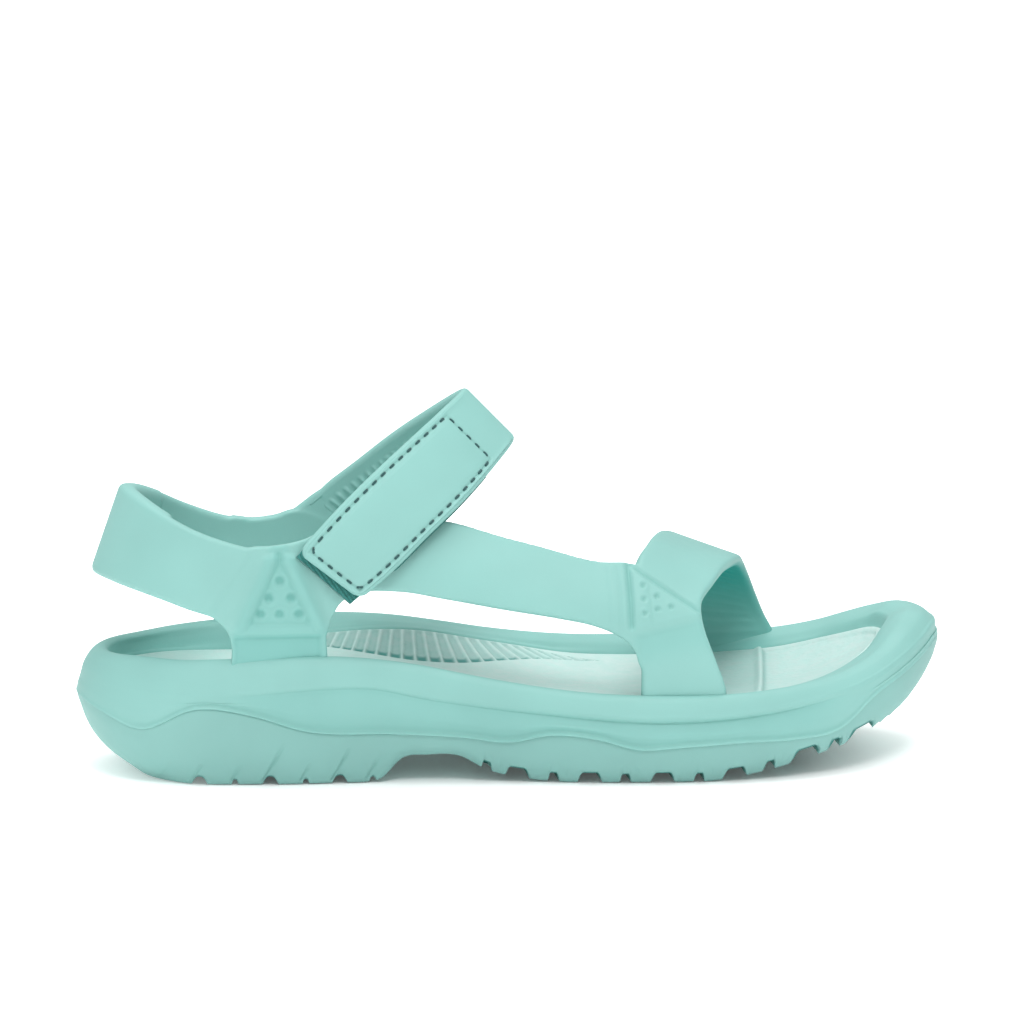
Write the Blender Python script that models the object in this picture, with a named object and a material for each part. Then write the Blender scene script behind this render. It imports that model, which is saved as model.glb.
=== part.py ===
"""Strappy sport sandal for the right foot, with a hook-and-loop ankle closure.

Metres, +X towards the toe, +Y towards the inner (medial) side, +Z up. The origin is on the ground
under the middle of the sandal. The tables are drawn in millimetres for a sole 283 mm long, and
UNIT carries them to metres at the length asked for.
"""

import bmesh
import bpy
import numpy as np

# ---- driving dimensions -------------------------------------------------------------------------
SOLE_LENGTH = 0.280
DRAWN_LENGTH = 283.0
DRAWN_CENTRE = (1.5, 0, 0)  # what the tables call the ground point under the sandal's middle
UNIT = SOLE_LENGTH / DRAWN_LENGTH

GAP = 0.3  # clearance between pieces that touch
STRAP_THICKNESS = 4.0
SLOT_DEPTH = 8.0  # how far a strap root goes down into the midsole's rim

FLAP_THICKNESS = 2.2
PATCH_THICKNESS = 0.8  # one layer of hook or loop tape
THREAD_DIAMETER = 0.7

RING_POINTS = 88  # points round the sole
PLATE_CELL = 7.0  # size of the quads on a quarter

# ---- sole tables --------------------------------------------------------------------------------
# Plan outline at the widest level, from the back of the heel along the outer side to the toe and back.
OUTLINE = [
    (-140, 0), (-133.5, -20), (-114, -33), (-80, -37), (-45, -37), (-8, -41),
    (30, -48), (60, -49.7), (91, -44.5), (117, -32.5), (135, -14), (143, 8),
    (137, 27), (118, 41.5), (89, 49), (58, 49.7), (24, 43.5), (-12, 36.5),
    (-48, 34.5), (-82, 37), (-114, 33), (-133.5, 20),
]
SPINE_SHARE = 0.78  # length of the sole's middle line, as a share of the outline's

# Heights along X. Each pair of tables is for the outer and for the inner side.
RIM_OUTER = [
    (-140, 39.6), (-130, 40.5), (-113, 41.3), (-90, 42.2), (-57, 42.2), (-35, 38.8), (-14, 34.3),
    (13, 30.7), (43, 28.8), (80, 28.6), (96, 30), (114, 33.8), (124, 38), (132, 43), (140, 46.5),
]
RIM_INNER = [
    (-140, 39.6), (-113, 40.6), (-90, 42), (-57, 43.4), (-35, 42), (-19, 39.4), (-3, 36.4),
    (17, 33.4), (50, 31.2), (85, 31.7), (111, 37), (129, 43.5), (140, 46.5),
]
PARTING_OUTER = [
    (-140, 25), (-133, 21.5), (-122, 16.6), (-105, 24.2), (-86, 21.7), (-70, 16.7), (-40, 14.6),
    (-12, 12.9), (10, 15.7), (24, 14.4), (38, 10.6), (46, 11.4), (70, 12.5), (87, 12.9),
    (104, 15.5), (115, 24.2), (127, 30), (140, 37),
]
PARTING_INNER = [
    (-140, 25), (-133, 21.5), (-122, 16.6), (-105, 24), (-86, 21), (-66, 17), (-40, 16),
    (-12, 15), (10, 16.5), (30, 14.4), (46, 11), (58, 12), (80, 13), (98, 14.5), (112, 19),
    (122, 26), (132, 31), (140, 37),
]
# The crease between the rolled rim and the side wall.
CREASE_OUTER = [
    (-140, 33), (-115, 34), (-89, 36.6), (-72, 38), (-53, 36.2), (-33, 29.8), (-8, 22.6),
    (12, 19.8), (37, 18.6), (57, 19.4), (77, 21.6), (100, 24.4), (114, 28), (128, 34.5), (140, 41),
]
CREASE_INNER = [
    (-140, 33), (-115, 34), (-90, 36), (-72, 37.6), (-50, 36), (-28, 31), (-5, 26), (20, 22.5),
    (45, 20.6), (70, 21.4), (95, 25.4), (115, 31), (130, 36.5), (140, 41),
]
GROUND = [
    (-140, 19), (-134, 9), (-128, 3.2), (-120, 0.4), (-113, 0), (-50, 0), (-45, 1), (-38, 7.6),
    (-30, 8.6), (-20, 8.2), (-11, 3.6), (0, 1.1), (13, 0), (60, 0), (75, 1.9), (98, 6.8),
    (107, 9), (118, 12.8), (126, 16), (133, 20), (140, 26),
]
TREAD_TOP = [
    (-140, 24), (-122, 17), (-100, 14.5), (-60, 13.5), (-30, 13.5), (0, 11.5), (40, 9.6),
    (75, 10.4), (98, 14), (118, 21.5), (130, 28), (140, 35),
]
FOOTBED = [
    (-140, 32), (-112, 32.2), (-85, 31.6), (-57, 32.2), (-30, 31), (-5, 28), (20, 25.6),
    (45, 24.4), (75, 24.4), (98, 27), (115, 32), (128, 37.5), (140, 41),
]
ARCH_RISE = [(-85, 0), (-60, 4.0), (-30, 5.9), (0, 3.8), (25, 0.9), (45, 0)]
CUP_DEPTH = [(-140, 8), (-60, 8), (-20, 6.4), (20, 4.8), (90, 4.6), (140, 5)]
# How far the foot of the side wall stands inside the outline: a long bevel at the heel and toe.
BEVEL = [
    (-140, 21), (-131, 17), (-120, 11), (-105, 5), (-88, 3.4), (0, 3.2), (60, 3.4), (95, 4),
    (118, 5.5), (130, 8), (140, 11),
]
LEAN = [(-140, 0.95), (-115, 1.05), (-85, 1.0), (110, 1.0), (140, 1.15)]
TILT = [(-140, 0.2), (-126, 0.16), (-110, 0.05), (-98, 0), (140, 0)]  # inset for each mm of height

# Steps of the outsole's wall from the ground up: share of the bevel, share of the height.
WALL_STEPS = [(1.0, 0.0), (0.43, 0.28), (0.11, 0.72), (0.0, 1.0)]
# The rolled rim's section: inset, share of the rise from crease to rim, and height added to it.
RIM_STEPS = [(1.2, 0.4, 0), (2.9, 0.82, 0), (4.6, 1, -0.3), (6.4, 1, 0), (8.6, 1, -0.9)]
RIM_TOP = 42.5  # the rim's height where the rear posts go into it
SIDE_BLEND = 50.0  # width over which the outer side's tables give way to the inner side's
TREAD_SHOULDER = 5.0  # how far in the joint between outsole and midsole falls to its inner level
FOOTBED_INSET = 13.0
FOOTBED_THICKNESS = 5.0
FOOTBED_CUP = 1.6  # how far the footbed's edge stands above its middle

# Grooves across the tread, in the heel and in the forefoot. Small and large ones take turns.
SMALL, LARGE = 0, 1
HEEL_GROOVES = [-102.6, -91.4, -80.2, -68.9, -58, -47.5]  # a large one first
FORE_GROOVES = [-11.2, -1.5, 9.8, 21.2, 32.4, 44.3, 56, 67.6, 79, 91, 101, 110.5]  # a small one first
GROOVES = [
    (x, (first + k) % 2)
    for places, first in ((HEEL_GROOVES, LARGE), (FORE_GROOVES, SMALL))
    for k, x in enumerate(places)
]
GROOVE_DEPTHS = (2.0, 3.4)
GROOVE_WIDTHS = (2.6, 5.2)
GROOVE_LENGTH = 140.0  # well past both sides of the sole

# ---- upper tables: X, Y, Z of the outer face ----------------------------------------------------
TOE_STRAP_BACK = [
    (37.5, -44.6, 20), (37.5, -46, 30), (37.3, -46.6, 40), (35.6, -45, 48.5), (35.4, -40.6, 59.4),
    (37.8, -33, 69.8), (43.2, -20, 73.8), (47.6, -5, 74.1), (52, 9, 72.6), (57, 22.5, 68.8),
    (61.5, 34, 60), (64, 41, 49), (64.6, 44.6, 38), (64.4, 44.8, 29), (64, 44, 20),
]
TOE_STRAP_FRONT = [
    (65.5, -44.2, 19), (65, -45.6, 29), (62, -46, 38), (58, -44.6, 49.5), (57.6, -40.8, 57.4),
    (63.6, -31, 63), (68.4, -19.5, 65), (73.4, -7, 65.7), (78, 7, 64.4), (80.6, 20, 61),
    (83.4, 31, 54.4), (86.8, 39.6, 45), (90.6, 43.2, 37.4), (94.6, 43.8, 31), (96.4, 43, 22),
]
HEEL_STRAP_LOW = [
    (-100, -35, 55), (-104.6, -34.2, 56.4), (-113, -30.8, 59.2), (-122.4, -23.6, 61.8),
    (-130, -12.6, 63.6), (-134.2, 0, 64.4), (-130, 12.6, 64.2), (-122.4, 23.6, 62.6),
    (-112.6, 30.6, 60), (-104, 34, 57.4), (-100, 34.6, 56),
]
HEEL_STRAP_HIGH = [
    (-85.6, -34.6, 76.2), (-91, -34, 77.6), (-103, -31, 81.6), (-113, -24.4, 86.2),
    (-120.6, -13, 90.4), (-124.2, 0, 92.2), (-120.6, 12.6, 90.8), (-113, 23.8, 86.8),
    (-102, 31.4, 81), (-90, 33.8, 76.6), (-84, 34.4, 75.2),
]

# The closure runs from the inner quarter, over the instep, and down to the flap's tip.
CLOSURE_BACK = [
    (-67, 34.4, 77.6), (-57.8, 34, 84.7), (-47, 31, 93.4), (-36.5, 24.4, 103),
    (-26.6, 14, 112), (-14, -1.4, 122.2), (-24, -14.4, 115.8), (-36, -23.4, 107.2),
    (-48.2, -30, 97.6), (-60, -35.4, 87.2), (-71.4, -39.2, 75.6),
]
CLOSURE_FRONT = [
    (-44, 34.4, 60), (-35, 34, 66.2), (-26, 32, 74.4), (-16.6, 27, 84.2), (-7.4, 17, 95),
    (2.4, -3, 105.4), (-6.4, -17.4, 98.2), (-17.4, -27, 88.8), (-29.6, -34, 78.9), (-41, -38.8, 69),
    (-51.8, -41, 60.4),
]
HINGE_STATION = 5  # which of the closure's points lie on the flap's hinge

# Side views of the quarters, in X and Z, anticlockwise from the root's back corner.
QUARTER_OUTER = [
    (-92.3, 34.8), (-61.6, 34.8), (-61.8, 43), (-62, 48), (-60, 54), (-57.4, 58.2), (-52, 61),
    (-40, 61.4), (-23.5, 58.7), (-7.4, 56), (12, 53), (24.6, 50.4), (30.6, 47.6), (34.2, 46.4),
    (34.2, 60), (35.4, 68.3), (26, 69), (7, 74.2), (-6, 77.8), (-19, 81.6), (-27, 83.2),
    (-62, 81.4), (-70, 78.4), (-79, 77.2), (-85, 76.2), (-91.6, 65.6), (-98.2, 55.6), (-93.9, 50.2),
    (-92.3, 45.6),
]
QUARTER_INNER = [
    (-93, 34.8), (-63.6, 34.8), (-63.2, 44), (-61.6, 49), (-57.4, 54), (-52, 57), (-45, 59.4),
    (-67.8, 77), (-75, 75), (-82.8, 75.2), (-91.5, 65), (-99.4, 56), (-95.6, 51), (-93.4, 45),
]
ROOT_SPANS = {"outer": (-92.7, -61.2), "inner": (-93.4, -63.2)}
# Outer face of the quarters: Y at stations of X, for rising Z.
SKIN_STATIONS = (-101, -77, -55, -25, 5, 35, 66)
SKIN_LEVELS = (30, 46, 58, 70, 84)
SKIN_OUTER = [
    (-32.4, -33.4, -33.4, -36.6, -41.4, -45.4, -46),
    (-34, -34.6, -34.6, -36.4, -41.4, -45.4, -46),
    (-34.4, -34.8, -34.6, -34.6, -38, -41.6, -42),
    (-34, -34.6, -33.6, -31.4, -31.6, -33, -33),
    (-32, -33, -30, -23, -22, -21, -21),
]
SKIN_INNER = [
    (32.4, 33, 31.6, 31.6, 35, 41.2, 45),
    (33.6, 34.6, 34, 33.6, 36, 41, 44.4),
    (33.8, 34.8, 34.6, 33.8, 34.6, 37.6, 40.6),
    (34, 34.6, 34.4, 33, 31, 31.6, 32.6),
    (32, 33.4, 33, 30, 22, 20, 20),
]

# Places on the flap, as shares of its length from the hinge, and of its width from front to back.
HOOK_SPAN = ((0.13, 0.955), (0.07, 0.93))
LOOP_SPAN = ((0.26, 0.80), (0.14, 0.86))
RECEIVER_SPAN = ((0.22, 0.40), (0.06, 0.94))
RECEIVER_SLANT = 0.45  # its lower end runs level round the ankle, so its front edge is shorter
HOOK_SEAM_SPAN = ((0.14, 0.945), (0.11, 0.89))
LOOP_SEAM_SPAN = ((0.245, 0.815), (0.105, 0.895))


# ---- curves -------------------------------------------------------------------------------------
def smooth(knots, values, at):
    """The Catmull-Rom curve through values at knots, read at each place in at."""
    knots, values = np.asarray(knots, float), np.asarray(values, float)
    at = np.clip(np.asarray(at, float), knots[0], knots[-1])
    slopes = np.gradient(values, knots, axis=0)
    i = np.clip(np.searchsorted(knots, at, side="right") - 1, 0, len(knots) - 2)
    span = knots[i + 1] - knots[i]
    t = (at - knots[i]) / span
    if values.ndim > 1:
        span, t = span[..., None], t[..., None]
    return (
        (2 * t**3 - 3 * t**2 + 1) * values[i]
        + (t**3 - 2 * t**2 + t) * span * slopes[i]
        + (3 * t**2 - 2 * t**3) * values[i + 1]
        + (t**3 - t**2) * span * slopes[i + 1]
    )


def table(pairs, at):
    """A table of (X, value) pairs read as a smooth curve."""
    knots, values = zip(*pairs)
    return smooth(knots, values, at)


def ground_line(x):
    """Height of the tread's bottom along X. It's flat on the ground under the heel and the ball."""
    return np.maximum(table(GROUND, x), 0)


def lengths_along(points):
    steps = np.linalg.norm(np.diff(points, axis=0), axis=1)
    return np.concatenate([[0], np.cumsum(steps)])


def resample(points, count, closed=False):
    """count points spaced evenly along the smooth curve through points."""
    points = np.asarray(points, float)
    if closed:
        points = np.concatenate([points[-3:], points, points[:4]])
    knots = lengths_along(points)
    start, end = (knots[3], knots[-4]) if closed else (0, knots[-1])
    fine = smooth(knots, points, np.linspace(start, end, 4000))
    along = lengths_along(fine)
    places = np.linspace(0, along[-1], count + 1 if closed else count)
    even = np.stack([np.interp(places, along, fine[:, k]) for k in range(fine.shape[1])], axis=1)
    return even[:-1] if closed else even


def unit(vectors):
    return vectors / np.linalg.norm(vectors, axis=-1, keepdims=True)


# ---- objects ------------------------------------------------------------------------------------
def clear_scene():
    for obj in list(bpy.data.objects):
        bpy.data.objects.remove(obj, do_unlink=True)


def new_collection(name):
    collection = bpy.data.collections.new(name)
    bpy.context.scene.collection.children.link(collection)
    return collection


def material(name, colour, roughness):
    made = bpy.data.materials.new(name)
    made.use_nodes = True
    shader = made.node_tree.nodes["Principled BSDF"]
    shader.inputs["Base Color"].default_value = (*colour, 1)
    shader.inputs["Roughness"].default_value = roughness
    shader.inputs["Metallic"].default_value = 0
    made.diffuse_color = (*colour, 1)
    return made


def world(points):
    """Drawn millimetres carried to metres about the sandal's middle."""
    return (np.asarray(points) - DRAWN_CENTRE) * UNIT


def mesh_object(name, points, faces, finish, collection):
    """A mesh from points in drawn millimetres, with coincident points made one."""
    mesh = bpy.data.meshes.new(name)
    mesh.from_pydata(world(points).tolist(), [], faces)
    shape = bmesh.new()
    shape.from_mesh(mesh)
    bmesh.ops.remove_doubles(shape, verts=shape.verts, dist=1e-6)
    bmesh.ops.recalc_face_normals(shape, faces=shape.faces)
    shape.to_mesh(mesh)
    shape.free()
    obj = bpy.data.objects.new(name, mesh)
    collection.objects.link(obj)
    if finish:
        mesh.materials.append(finish)
    mesh.shade_smooth()
    mesh.set_sharp_from_angle(angle=np.radians(40))
    return obj


def hang(pieces, name, pivot, collection):
    """Parents pieces to an empty on their joint's axis."""
    hinge = bpy.data.objects.new(name, None)
    hinge.location = world(pivot)
    collection.objects.link(hinge)
    bpy.context.view_layer.update()
    for piece in pieces:
        piece.parent = hinge
        piece.matrix_parent_inverse = hinge.matrix_world.inverted()


def cutter(obj):
    obj.hide_render = True
    obj.display_type = "WIRE"
    return obj


def cut(obj, tool, operation="DIFFERENCE"):
    modifier = obj.modifiers.new(tool.name, "BOOLEAN")
    modifier.operation = operation
    modifier.solver = "EXACT"
    modifier.object = tool


# ---- sole ---------------------------------------------------------------------------------------
class Ring:
    """The sole's outline with its inward normals, and the middle line that every section runs to."""

    def __init__(self, count):
        self.plan = resample(OUTLINE, count, closed=True)
        around = np.roll(self.plan, -1, axis=0) - np.roll(self.plan, 1, axis=0)
        tangent = unit(around)
        self.inward = np.stack([-tangent[:, 1], tangent[:, 0]], axis=1)
        opposite = self.plan[(-np.arange(count)) % count]
        self.middle = (self.plan + opposite) / 2 * (SPINE_SHARE, 1)
        across = self.plan[:, 1] - self.middle[:, 1]
        self.inner_share = np.clip(0.5 + across / SIDE_BLEND, 0, 1)

    def height(self, outer, inner):
        """Both sides' tables, joined smoothly round the heel and the toe."""
        x = self.plan[:, 0]
        return table(outer, x) * (1 - self.inner_share) + table(inner, x) * self.inner_share

    def level(self, inset, z):
        """A ring of points at a distance inside the outline."""
        plan = self.plan + self.inward * np.broadcast_to(inset, len(self.plan))[:, None]
        return np.column_stack([plan, np.broadcast_to(z, len(plan))])

    def towards_middle(self, level, share, heights):
        """A ring part of the way from a level to the middle line, at the height found there."""
        plan = level[:, :2] + (self.middle - level[:, :2]) * share
        return np.column_stack([plan, heights(plan[:, 0], share)])


def ring_solid(name, levels, finish, collection):
    """A closed solid from rings that run from the middle line, out round the edge and back to it."""
    count = len(levels[0])
    faces = []
    for k in range(len(levels) - 1):
        here, there = k * count, (k + 1) * count
        if np.ptp(levels[k][:, 1]) < np.ptp(levels[k + 1][:, 1]):
            here, there = there, here
        for i in range(count):
            j = (i + 1) % count
            faces += [(here + i, here + j, there + j), (here + i, there + j, there + i)]
    return mesh_object(name, np.concatenate(levels), faces, finish, collection)


def tread_rings(ring, lift):
    """The joint between outsole and midsole, from the parting line in to the middle."""
    parting = ring.height(PARTING_OUTER, PARTING_INNER) + lift
    edge = ring.level(0.0, parting)
    shoulder = ring.level(TREAD_SHOULDER, 0)
    shoulder[:, 2] = table(TREAD_TOP, shoulder[:, 0]) + lift
    inner = [
        ring.towards_middle(shoulder, share, lambda x, _: table(TREAD_TOP, x) + lift)
        for share in (0.5, 1.0)
    ]
    return [edge, shoulder, *inner]


def make_outsole(ring, finish, collection):
    bevel = table(BEVEL, ring.plan[:, 0])
    parting = ring.height(PARTING_OUTER, PARTING_INNER)
    wall = []
    for share_in, share_up in WALL_STEPS[:-1]:
        level = ring.level(bevel * share_in, 0)
        foot = ground_line(level[:, 0])
        level[:, 2] = foot + (parting - foot) * share_up if share_up else foot
        wall.append(level)
    base = [
        ring.towards_middle(wall[0], share, lambda x, _: ground_line(x))
        for share in (1.0, 0.75, 0.5, 0.25)
    ]
    joint = tread_rings(ring, 0)
    return ring_solid("outsole", [*base, *wall, *joint], finish, collection)


def groove_cutter(collection):
    """Bars across the tread, square to the slope of the ground line where they are."""
    points, faces = [], []
    for x, kind in GROOVES:
        z = float(ground_line(x))
        rise = float(ground_line(x + 2) - ground_line(x - 2)) / 4
        along = unit(np.array([1, 0, rise]))
        up = np.array([-along[2], 0, along[0]])
        depth, width = GROOVE_DEPTHS[kind], GROOVE_WIDTHS[kind]
        section = [
            -along * width * 0.8 - up * 6,
            along * width * 0.8 - up * 6,
            along * width * 0.3 + up * depth,
            -along * width * 0.3 + up * depth,
        ]
        first = len(points)
        for y in (-GROOVE_LENGTH / 2, GROOVE_LENGTH / 2):
            points += [corner + (x, y, z) for corner in section]
        faces += [
            tuple(first + c for c in quad)
            for quad in (
                (0, 1, 2, 3), (7, 6, 5, 4), (0, 4, 5, 1), (1, 5, 6, 2), (2, 6, 7, 3), (3, 7, 4, 0),
            )
        ]
    return cutter(mesh_object("groove_cutter", points, faces, None, collection))


def footbed_height(x, share):
    """Height of the footbed at a share of the way in from its edge."""
    centre = table(FOOTBED, x)
    edge = centre + FOOTBED_CUP
    return edge + (centre - edge) * np.sin(share * np.pi / 2)


def arch_lift(ring, level, share):
    """Extra height under the arch, on the inner side only."""
    side = ring.inner_share * (1 - share)
    return table(ARCH_RISE, level[:, 0]) * side


def footbed_rings(ring, inset, lift):
    """The footbed's top or the pocket's floor, from its edge in to the middle."""
    edge = ring.level(inset, 0)
    rings = []
    for share in (0.0, 0.3, 0.65, 1.0):
        level = ring.towards_middle(edge, share, footbed_height)
        level[:, 2] += arch_lift(ring, level, share) + lift
        rings.append(level)
    return rings


def make_midsole(ring, finish, collection):
    lean = table(LEAN, ring.plan[:, 0])
    parting = ring.height(PARTING_OUTER, PARTING_INNER) + GAP
    crease = ring.height(CREASE_OUTER, CREASE_INNER)
    rim = ring.height(RIM_OUTER, RIM_INNER)
    cup = table(CUP_DEPTH, ring.plan[:, 0])
    joint = tread_rings(ring, GAP)[::-1]
    steps = [(0.3, (parting + crease) / 2), (0.9, crease)]
    for inset, share, added in RIM_STEPS:
        steps.append((inset * lean, crease + (rim - crease) * share + added))
    tilt = table(TILT, ring.plan[:, 0])
    wall = [ring.level(inset + tilt * (z - parting), z) for inset, z in steps]
    top = footbed_rings(ring, FOOTBED_INSET, 0)[0][:, 2]
    floor = footbed_rings(ring, FOOTBED_INSET, -FOOTBED_THICKNESS - GAP)
    wall.append(ring.level(FOOTBED_INSET - 1.2, np.maximum(top + 0.8, rim - cup * 0.8)))
    wall.append(ring.level(FOOTBED_INSET, top + 0.4))
    return ring_solid("midsole", [*joint, *wall, *floor], finish, collection)


def make_footbed(ring, finish, collection):
    top = footbed_rings(ring, FOOTBED_INSET + GAP + 0.1, 0)
    floor = footbed_rings(ring, FOOTBED_INSET + GAP + 0.1, -FOOTBED_THICKNESS)
    return ring_solid("footbed", [*floor[::-1], *top], finish, collection)


# ---- straps -------------------------------------------------------------------------------------
class Strap:
    """A band between two edge curves. Places on it are shares along and across, and a depth.

    Seen from outside with its length running up, edge_a is on the right.
    """

    def __init__(self, edge_a, edge_b):
        self.edges = [np.asarray(edge, float) for edge in (edge_a, edge_b)]
        middle = (self.edges[0] + self.edges[1]) / 2
        along = lengths_along(middle)
        self.length = along[-1]
        self.knots = along / self.length

    def point(self, along, across, depth=0.0):
        """Points at these shares, depth millimetres in from the outer face."""
        along, across = np.broadcast_arrays(np.asarray(along, float), np.asarray(across, float))
        a, b = (smooth(self.knots, edge, along) for edge in self.edges)
        step = 1e-3
        ahead, behind = np.clip(along + step, 0, 1), np.clip(along - step, 0, 1)
        share = across[..., None]
        run = [
            smooth(self.knots, edge, ahead) - smooth(self.knots, edge, behind) for edge in self.edges
        ]
        normal = unit(np.cross(b - a, run[0] * (1 - share) + run[1] * share))
        return a + (b - a) * share - normal * np.asarray(depth)[..., None]


def band_solid(name, strap, span, thickness, finish, collection, sink=0.0, stations=24, columns=4,
               chamfer=0.035, corner=0.0, slant=0.0):
    """A solid length of a strap, its outer face sink below the strap's, with chamfered long edges.

    The tip narrows by corner at each side, and ends slant further along at the far edge.
    """
    (start, end), (left, right) = span
    rows = []
    for k in range(stations):
        tip = max(0, k - stations + 3) / 2 * corner
        low, high = left + tip, right - tip
        across = np.linspace(low + chamfer, high - chamfer, columns)
        across = np.concatenate([across, [high], across[::-1], [low]])
        depth = np.repeat([sink, sink + thickness / 2, sink + thickness, sink + thickness / 2],
                          [columns, 1, columns, 1])
        place = start + (end + slant * across - start) * k / (stations - 1)
        rows.append(strap.point(place, across, depth))
    return section_solid(name, rows, columns, finish, collection)


def section_solid(name, rows, columns, finish, collection):
    """Joins like sections into a closed solid. A section is an outer row, a side, an inner row, a side."""
    count = len(rows[0])
    faces = []
    for k in range(len(rows) - 1):
        for i in range(count):
            j = (i + 1) % count
            faces.append((k * count + i, k * count + j, (k + 1) * count + j, (k + 1) * count + i))
    for base, turn in ((0, 1), ((len(rows) - 1) * count, -1)):
        last = 2 * columns
        quads = [(c, c + 1, last - 1 - c, last - c) for c in range(columns - 1)]
        caps = [tuple(q) for q in quads] + [(columns - 1, columns, columns + 1), (last + 1, 0, last)]
        faces += [tuple(base + i for i in cap[::turn]) for cap in caps]
    return mesh_object(name, np.concatenate(rows), faces, finish, collection)


def thread_ring(name, strap, span, depth, finish, collection):
    """A closed line of stitching round a patch: a cyclic curve with a round section."""
    (start, end), (left, right) = span
    sides = [
        [(place, left) for place in np.linspace(start, end, 12)[:-1]],
        [(end, across) for across in np.linspace(left, right, 4)[:-1]],
        [(place, right) for place in np.linspace(end, start, 12)[:-1]],
        [(start, across) for across in np.linspace(right, left, 4)[:-1]],
    ]
    route = [strap.point(place, across, depth) for side in sides for place, across in side]
    curve = bpy.data.curves.new(name, "CURVE")
    curve.dimensions = "3D"
    curve.bevel_depth = THREAD_DIAMETER / 2 * UNIT
    curve.bevel_resolution = 1
    line = curve.splines.new("POLY")
    line.points.add(len(route) - 1)
    for spot, place in zip(line.points, route):
        spot.co = (*world(place), 1)
    line.use_cyclic_u = True
    curve.materials.append(finish)
    obj = bpy.data.objects.new(name, curve)
    collection.objects.link(obj)
    return obj


# ---- quarters -----------------------------------------------------------------------------------
def skin(rows, x, z):
    """Y of a quarter's outer face at X and Z."""
    x, z = np.asarray(x, float), np.asarray(z, float)
    by_level = np.stack([smooth(SKIN_STATIONS, row, x) for row in rows])
    slopes = np.gradient(by_level, SKIN_LEVELS, axis=0)
    z = np.clip(z, SKIN_LEVELS[0], SKIN_LEVELS[-1])
    i = np.clip(np.searchsorted(SKIN_LEVELS, z, side="right") - 1, 0, len(SKIN_LEVELS) - 2)
    low = np.asarray(SKIN_LEVELS, float)[i]
    span = np.asarray(SKIN_LEVELS, float)[i + 1] - low
    t = (z - low) / span
    pick = np.arange(len(z))
    return (
        (2 * t**3 - 3 * t**2 + 1) * by_level[i, pick]
        + (t**3 - 2 * t**2 + t) * span * slopes[i, pick]
        + (3 * t**2 - 2 * t**3) * by_level[i + 1, pick]
        + (t**3 - t**2) * span * slopes[i + 1, pick]
    )


def wrap(rows, x, depth, z):
    """Carries flat points to the quarter's skin, depth millimetres in from its outer face."""
    side = np.sign(rows[0][0])
    step = 0.5
    dx = (skin(rows, x + step, z) - skin(rows, x - step, z)) / (2 * step)
    dz = (skin(rows, x, z + step) - skin(rows, x, z - step)) / (2 * step)
    outward = unit(np.column_stack([-dx, np.ones_like(dx), -dz]) * side)
    return np.column_stack([x, skin(rows, x, z), z]) - outward * depth[:, None]


def prism(name, outline, near, far, collection):
    """A flat outline in X and Z, thick along Y, as a filled 2D curve made into a mesh."""
    curve = bpy.data.curves.new(name, "CURVE")
    curve.dimensions = "2D"
    curve.fill_mode = "BOTH"
    curve.extrude = (far - near) / 2 * UNIT
    line = curve.splines.new("POLY")
    line.points.add(len(outline) - 1)
    for spot, (x, z) in zip(line.points, outline):
        spot.co = (x * UNIT, z * UNIT, 0, 1)
    line.use_cyclic_u = True
    flat = bpy.data.objects.new(name, curve)
    collection.objects.link(flat)
    graph = bpy.context.evaluated_depsgraph_get()
    mesh = bpy.data.meshes.new_from_object(flat.evaluated_get(graph))
    bpy.data.objects.remove(flat)
    shape = bmesh.new()
    shape.from_mesh(mesh)
    bmesh.ops.remove_doubles(shape, verts=shape.verts, dist=1e-6)
    for vert in shape.verts:
        x, z, depth = vert.co
        vert.co = (x, depth + (near + far) / 2 * UNIT, z)
    bmesh.ops.recalc_face_normals(shape, faces=shape.faces)
    shape.to_mesh(mesh)
    shape.free()
    obj = bpy.data.objects.new(name, mesh)
    collection.objects.link(obj)
    return obj


def slab(name, outline, thickness, collection):
    """A flat grid with thickness that covers the outline's box, so that a cut plate can bend."""
    low, high = np.min(outline, axis=0) - 3, np.max(outline, axis=0) + 3
    counts = np.maximum(1, np.round((high - low) / PLATE_CELL)).astype(int)
    xs, zs = (np.linspace(low[k], high[k], counts[k] + 1) for k in range(2))
    shape = bmesh.new()
    corners = [[shape.verts.new((x * UNIT, 0, z * UNIT)) for z in zs] for x in xs]
    for i in range(counts[0]):
        for j in range(counts[1]):
            shape.faces.new(
                (corners[i][j], corners[i + 1][j], corners[i + 1][j + 1], corners[i][j + 1])
            )
    made = bmesh.ops.extrude_face_region(shape, geom=shape.faces[:])
    moved = [g for g in made["geom"] if isinstance(g, bmesh.types.BMVert)]
    bmesh.ops.translate(shape, verts=moved, vec=(0, thickness * UNIT, 0))
    bmesh.ops.recalc_face_normals(shape, faces=shape.faces)
    mesh = bpy.data.meshes.new(name)
    shape.to_mesh(mesh)
    shape.free()
    obj = bpy.data.objects.new(name, mesh)
    collection.objects.link(obj)
    return obj


def plate_solid(name, outline, rows, thickness, finish, collection, sink=0.0):
    """A flat outline with thickness, bent to the quarter's skin."""
    flat = slab(name + "_flat", outline, thickness, collection)
    tool = prism(name + "_prism", outline, -2, thickness + 2, collection)
    cut(flat, tool, "INTERSECT")
    bpy.context.view_layer.update()
    graph = bpy.context.evaluated_depsgraph_get()
    mesh = bpy.data.meshes.new_from_object(flat.evaluated_get(graph))
    for helper in (flat, tool):
        bpy.data.objects.remove(helper)
    points = np.array([vert.co for vert in mesh.vertices]) / UNIT
    bent = wrap(rows, points[:, 0], points[:, 1] + sink, points[:, 2])
    faces = [tuple(face.vertices) for face in mesh.polygons]
    bpy.data.meshes.remove(mesh)
    return mesh_object(name, bent, faces, finish, collection)


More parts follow.
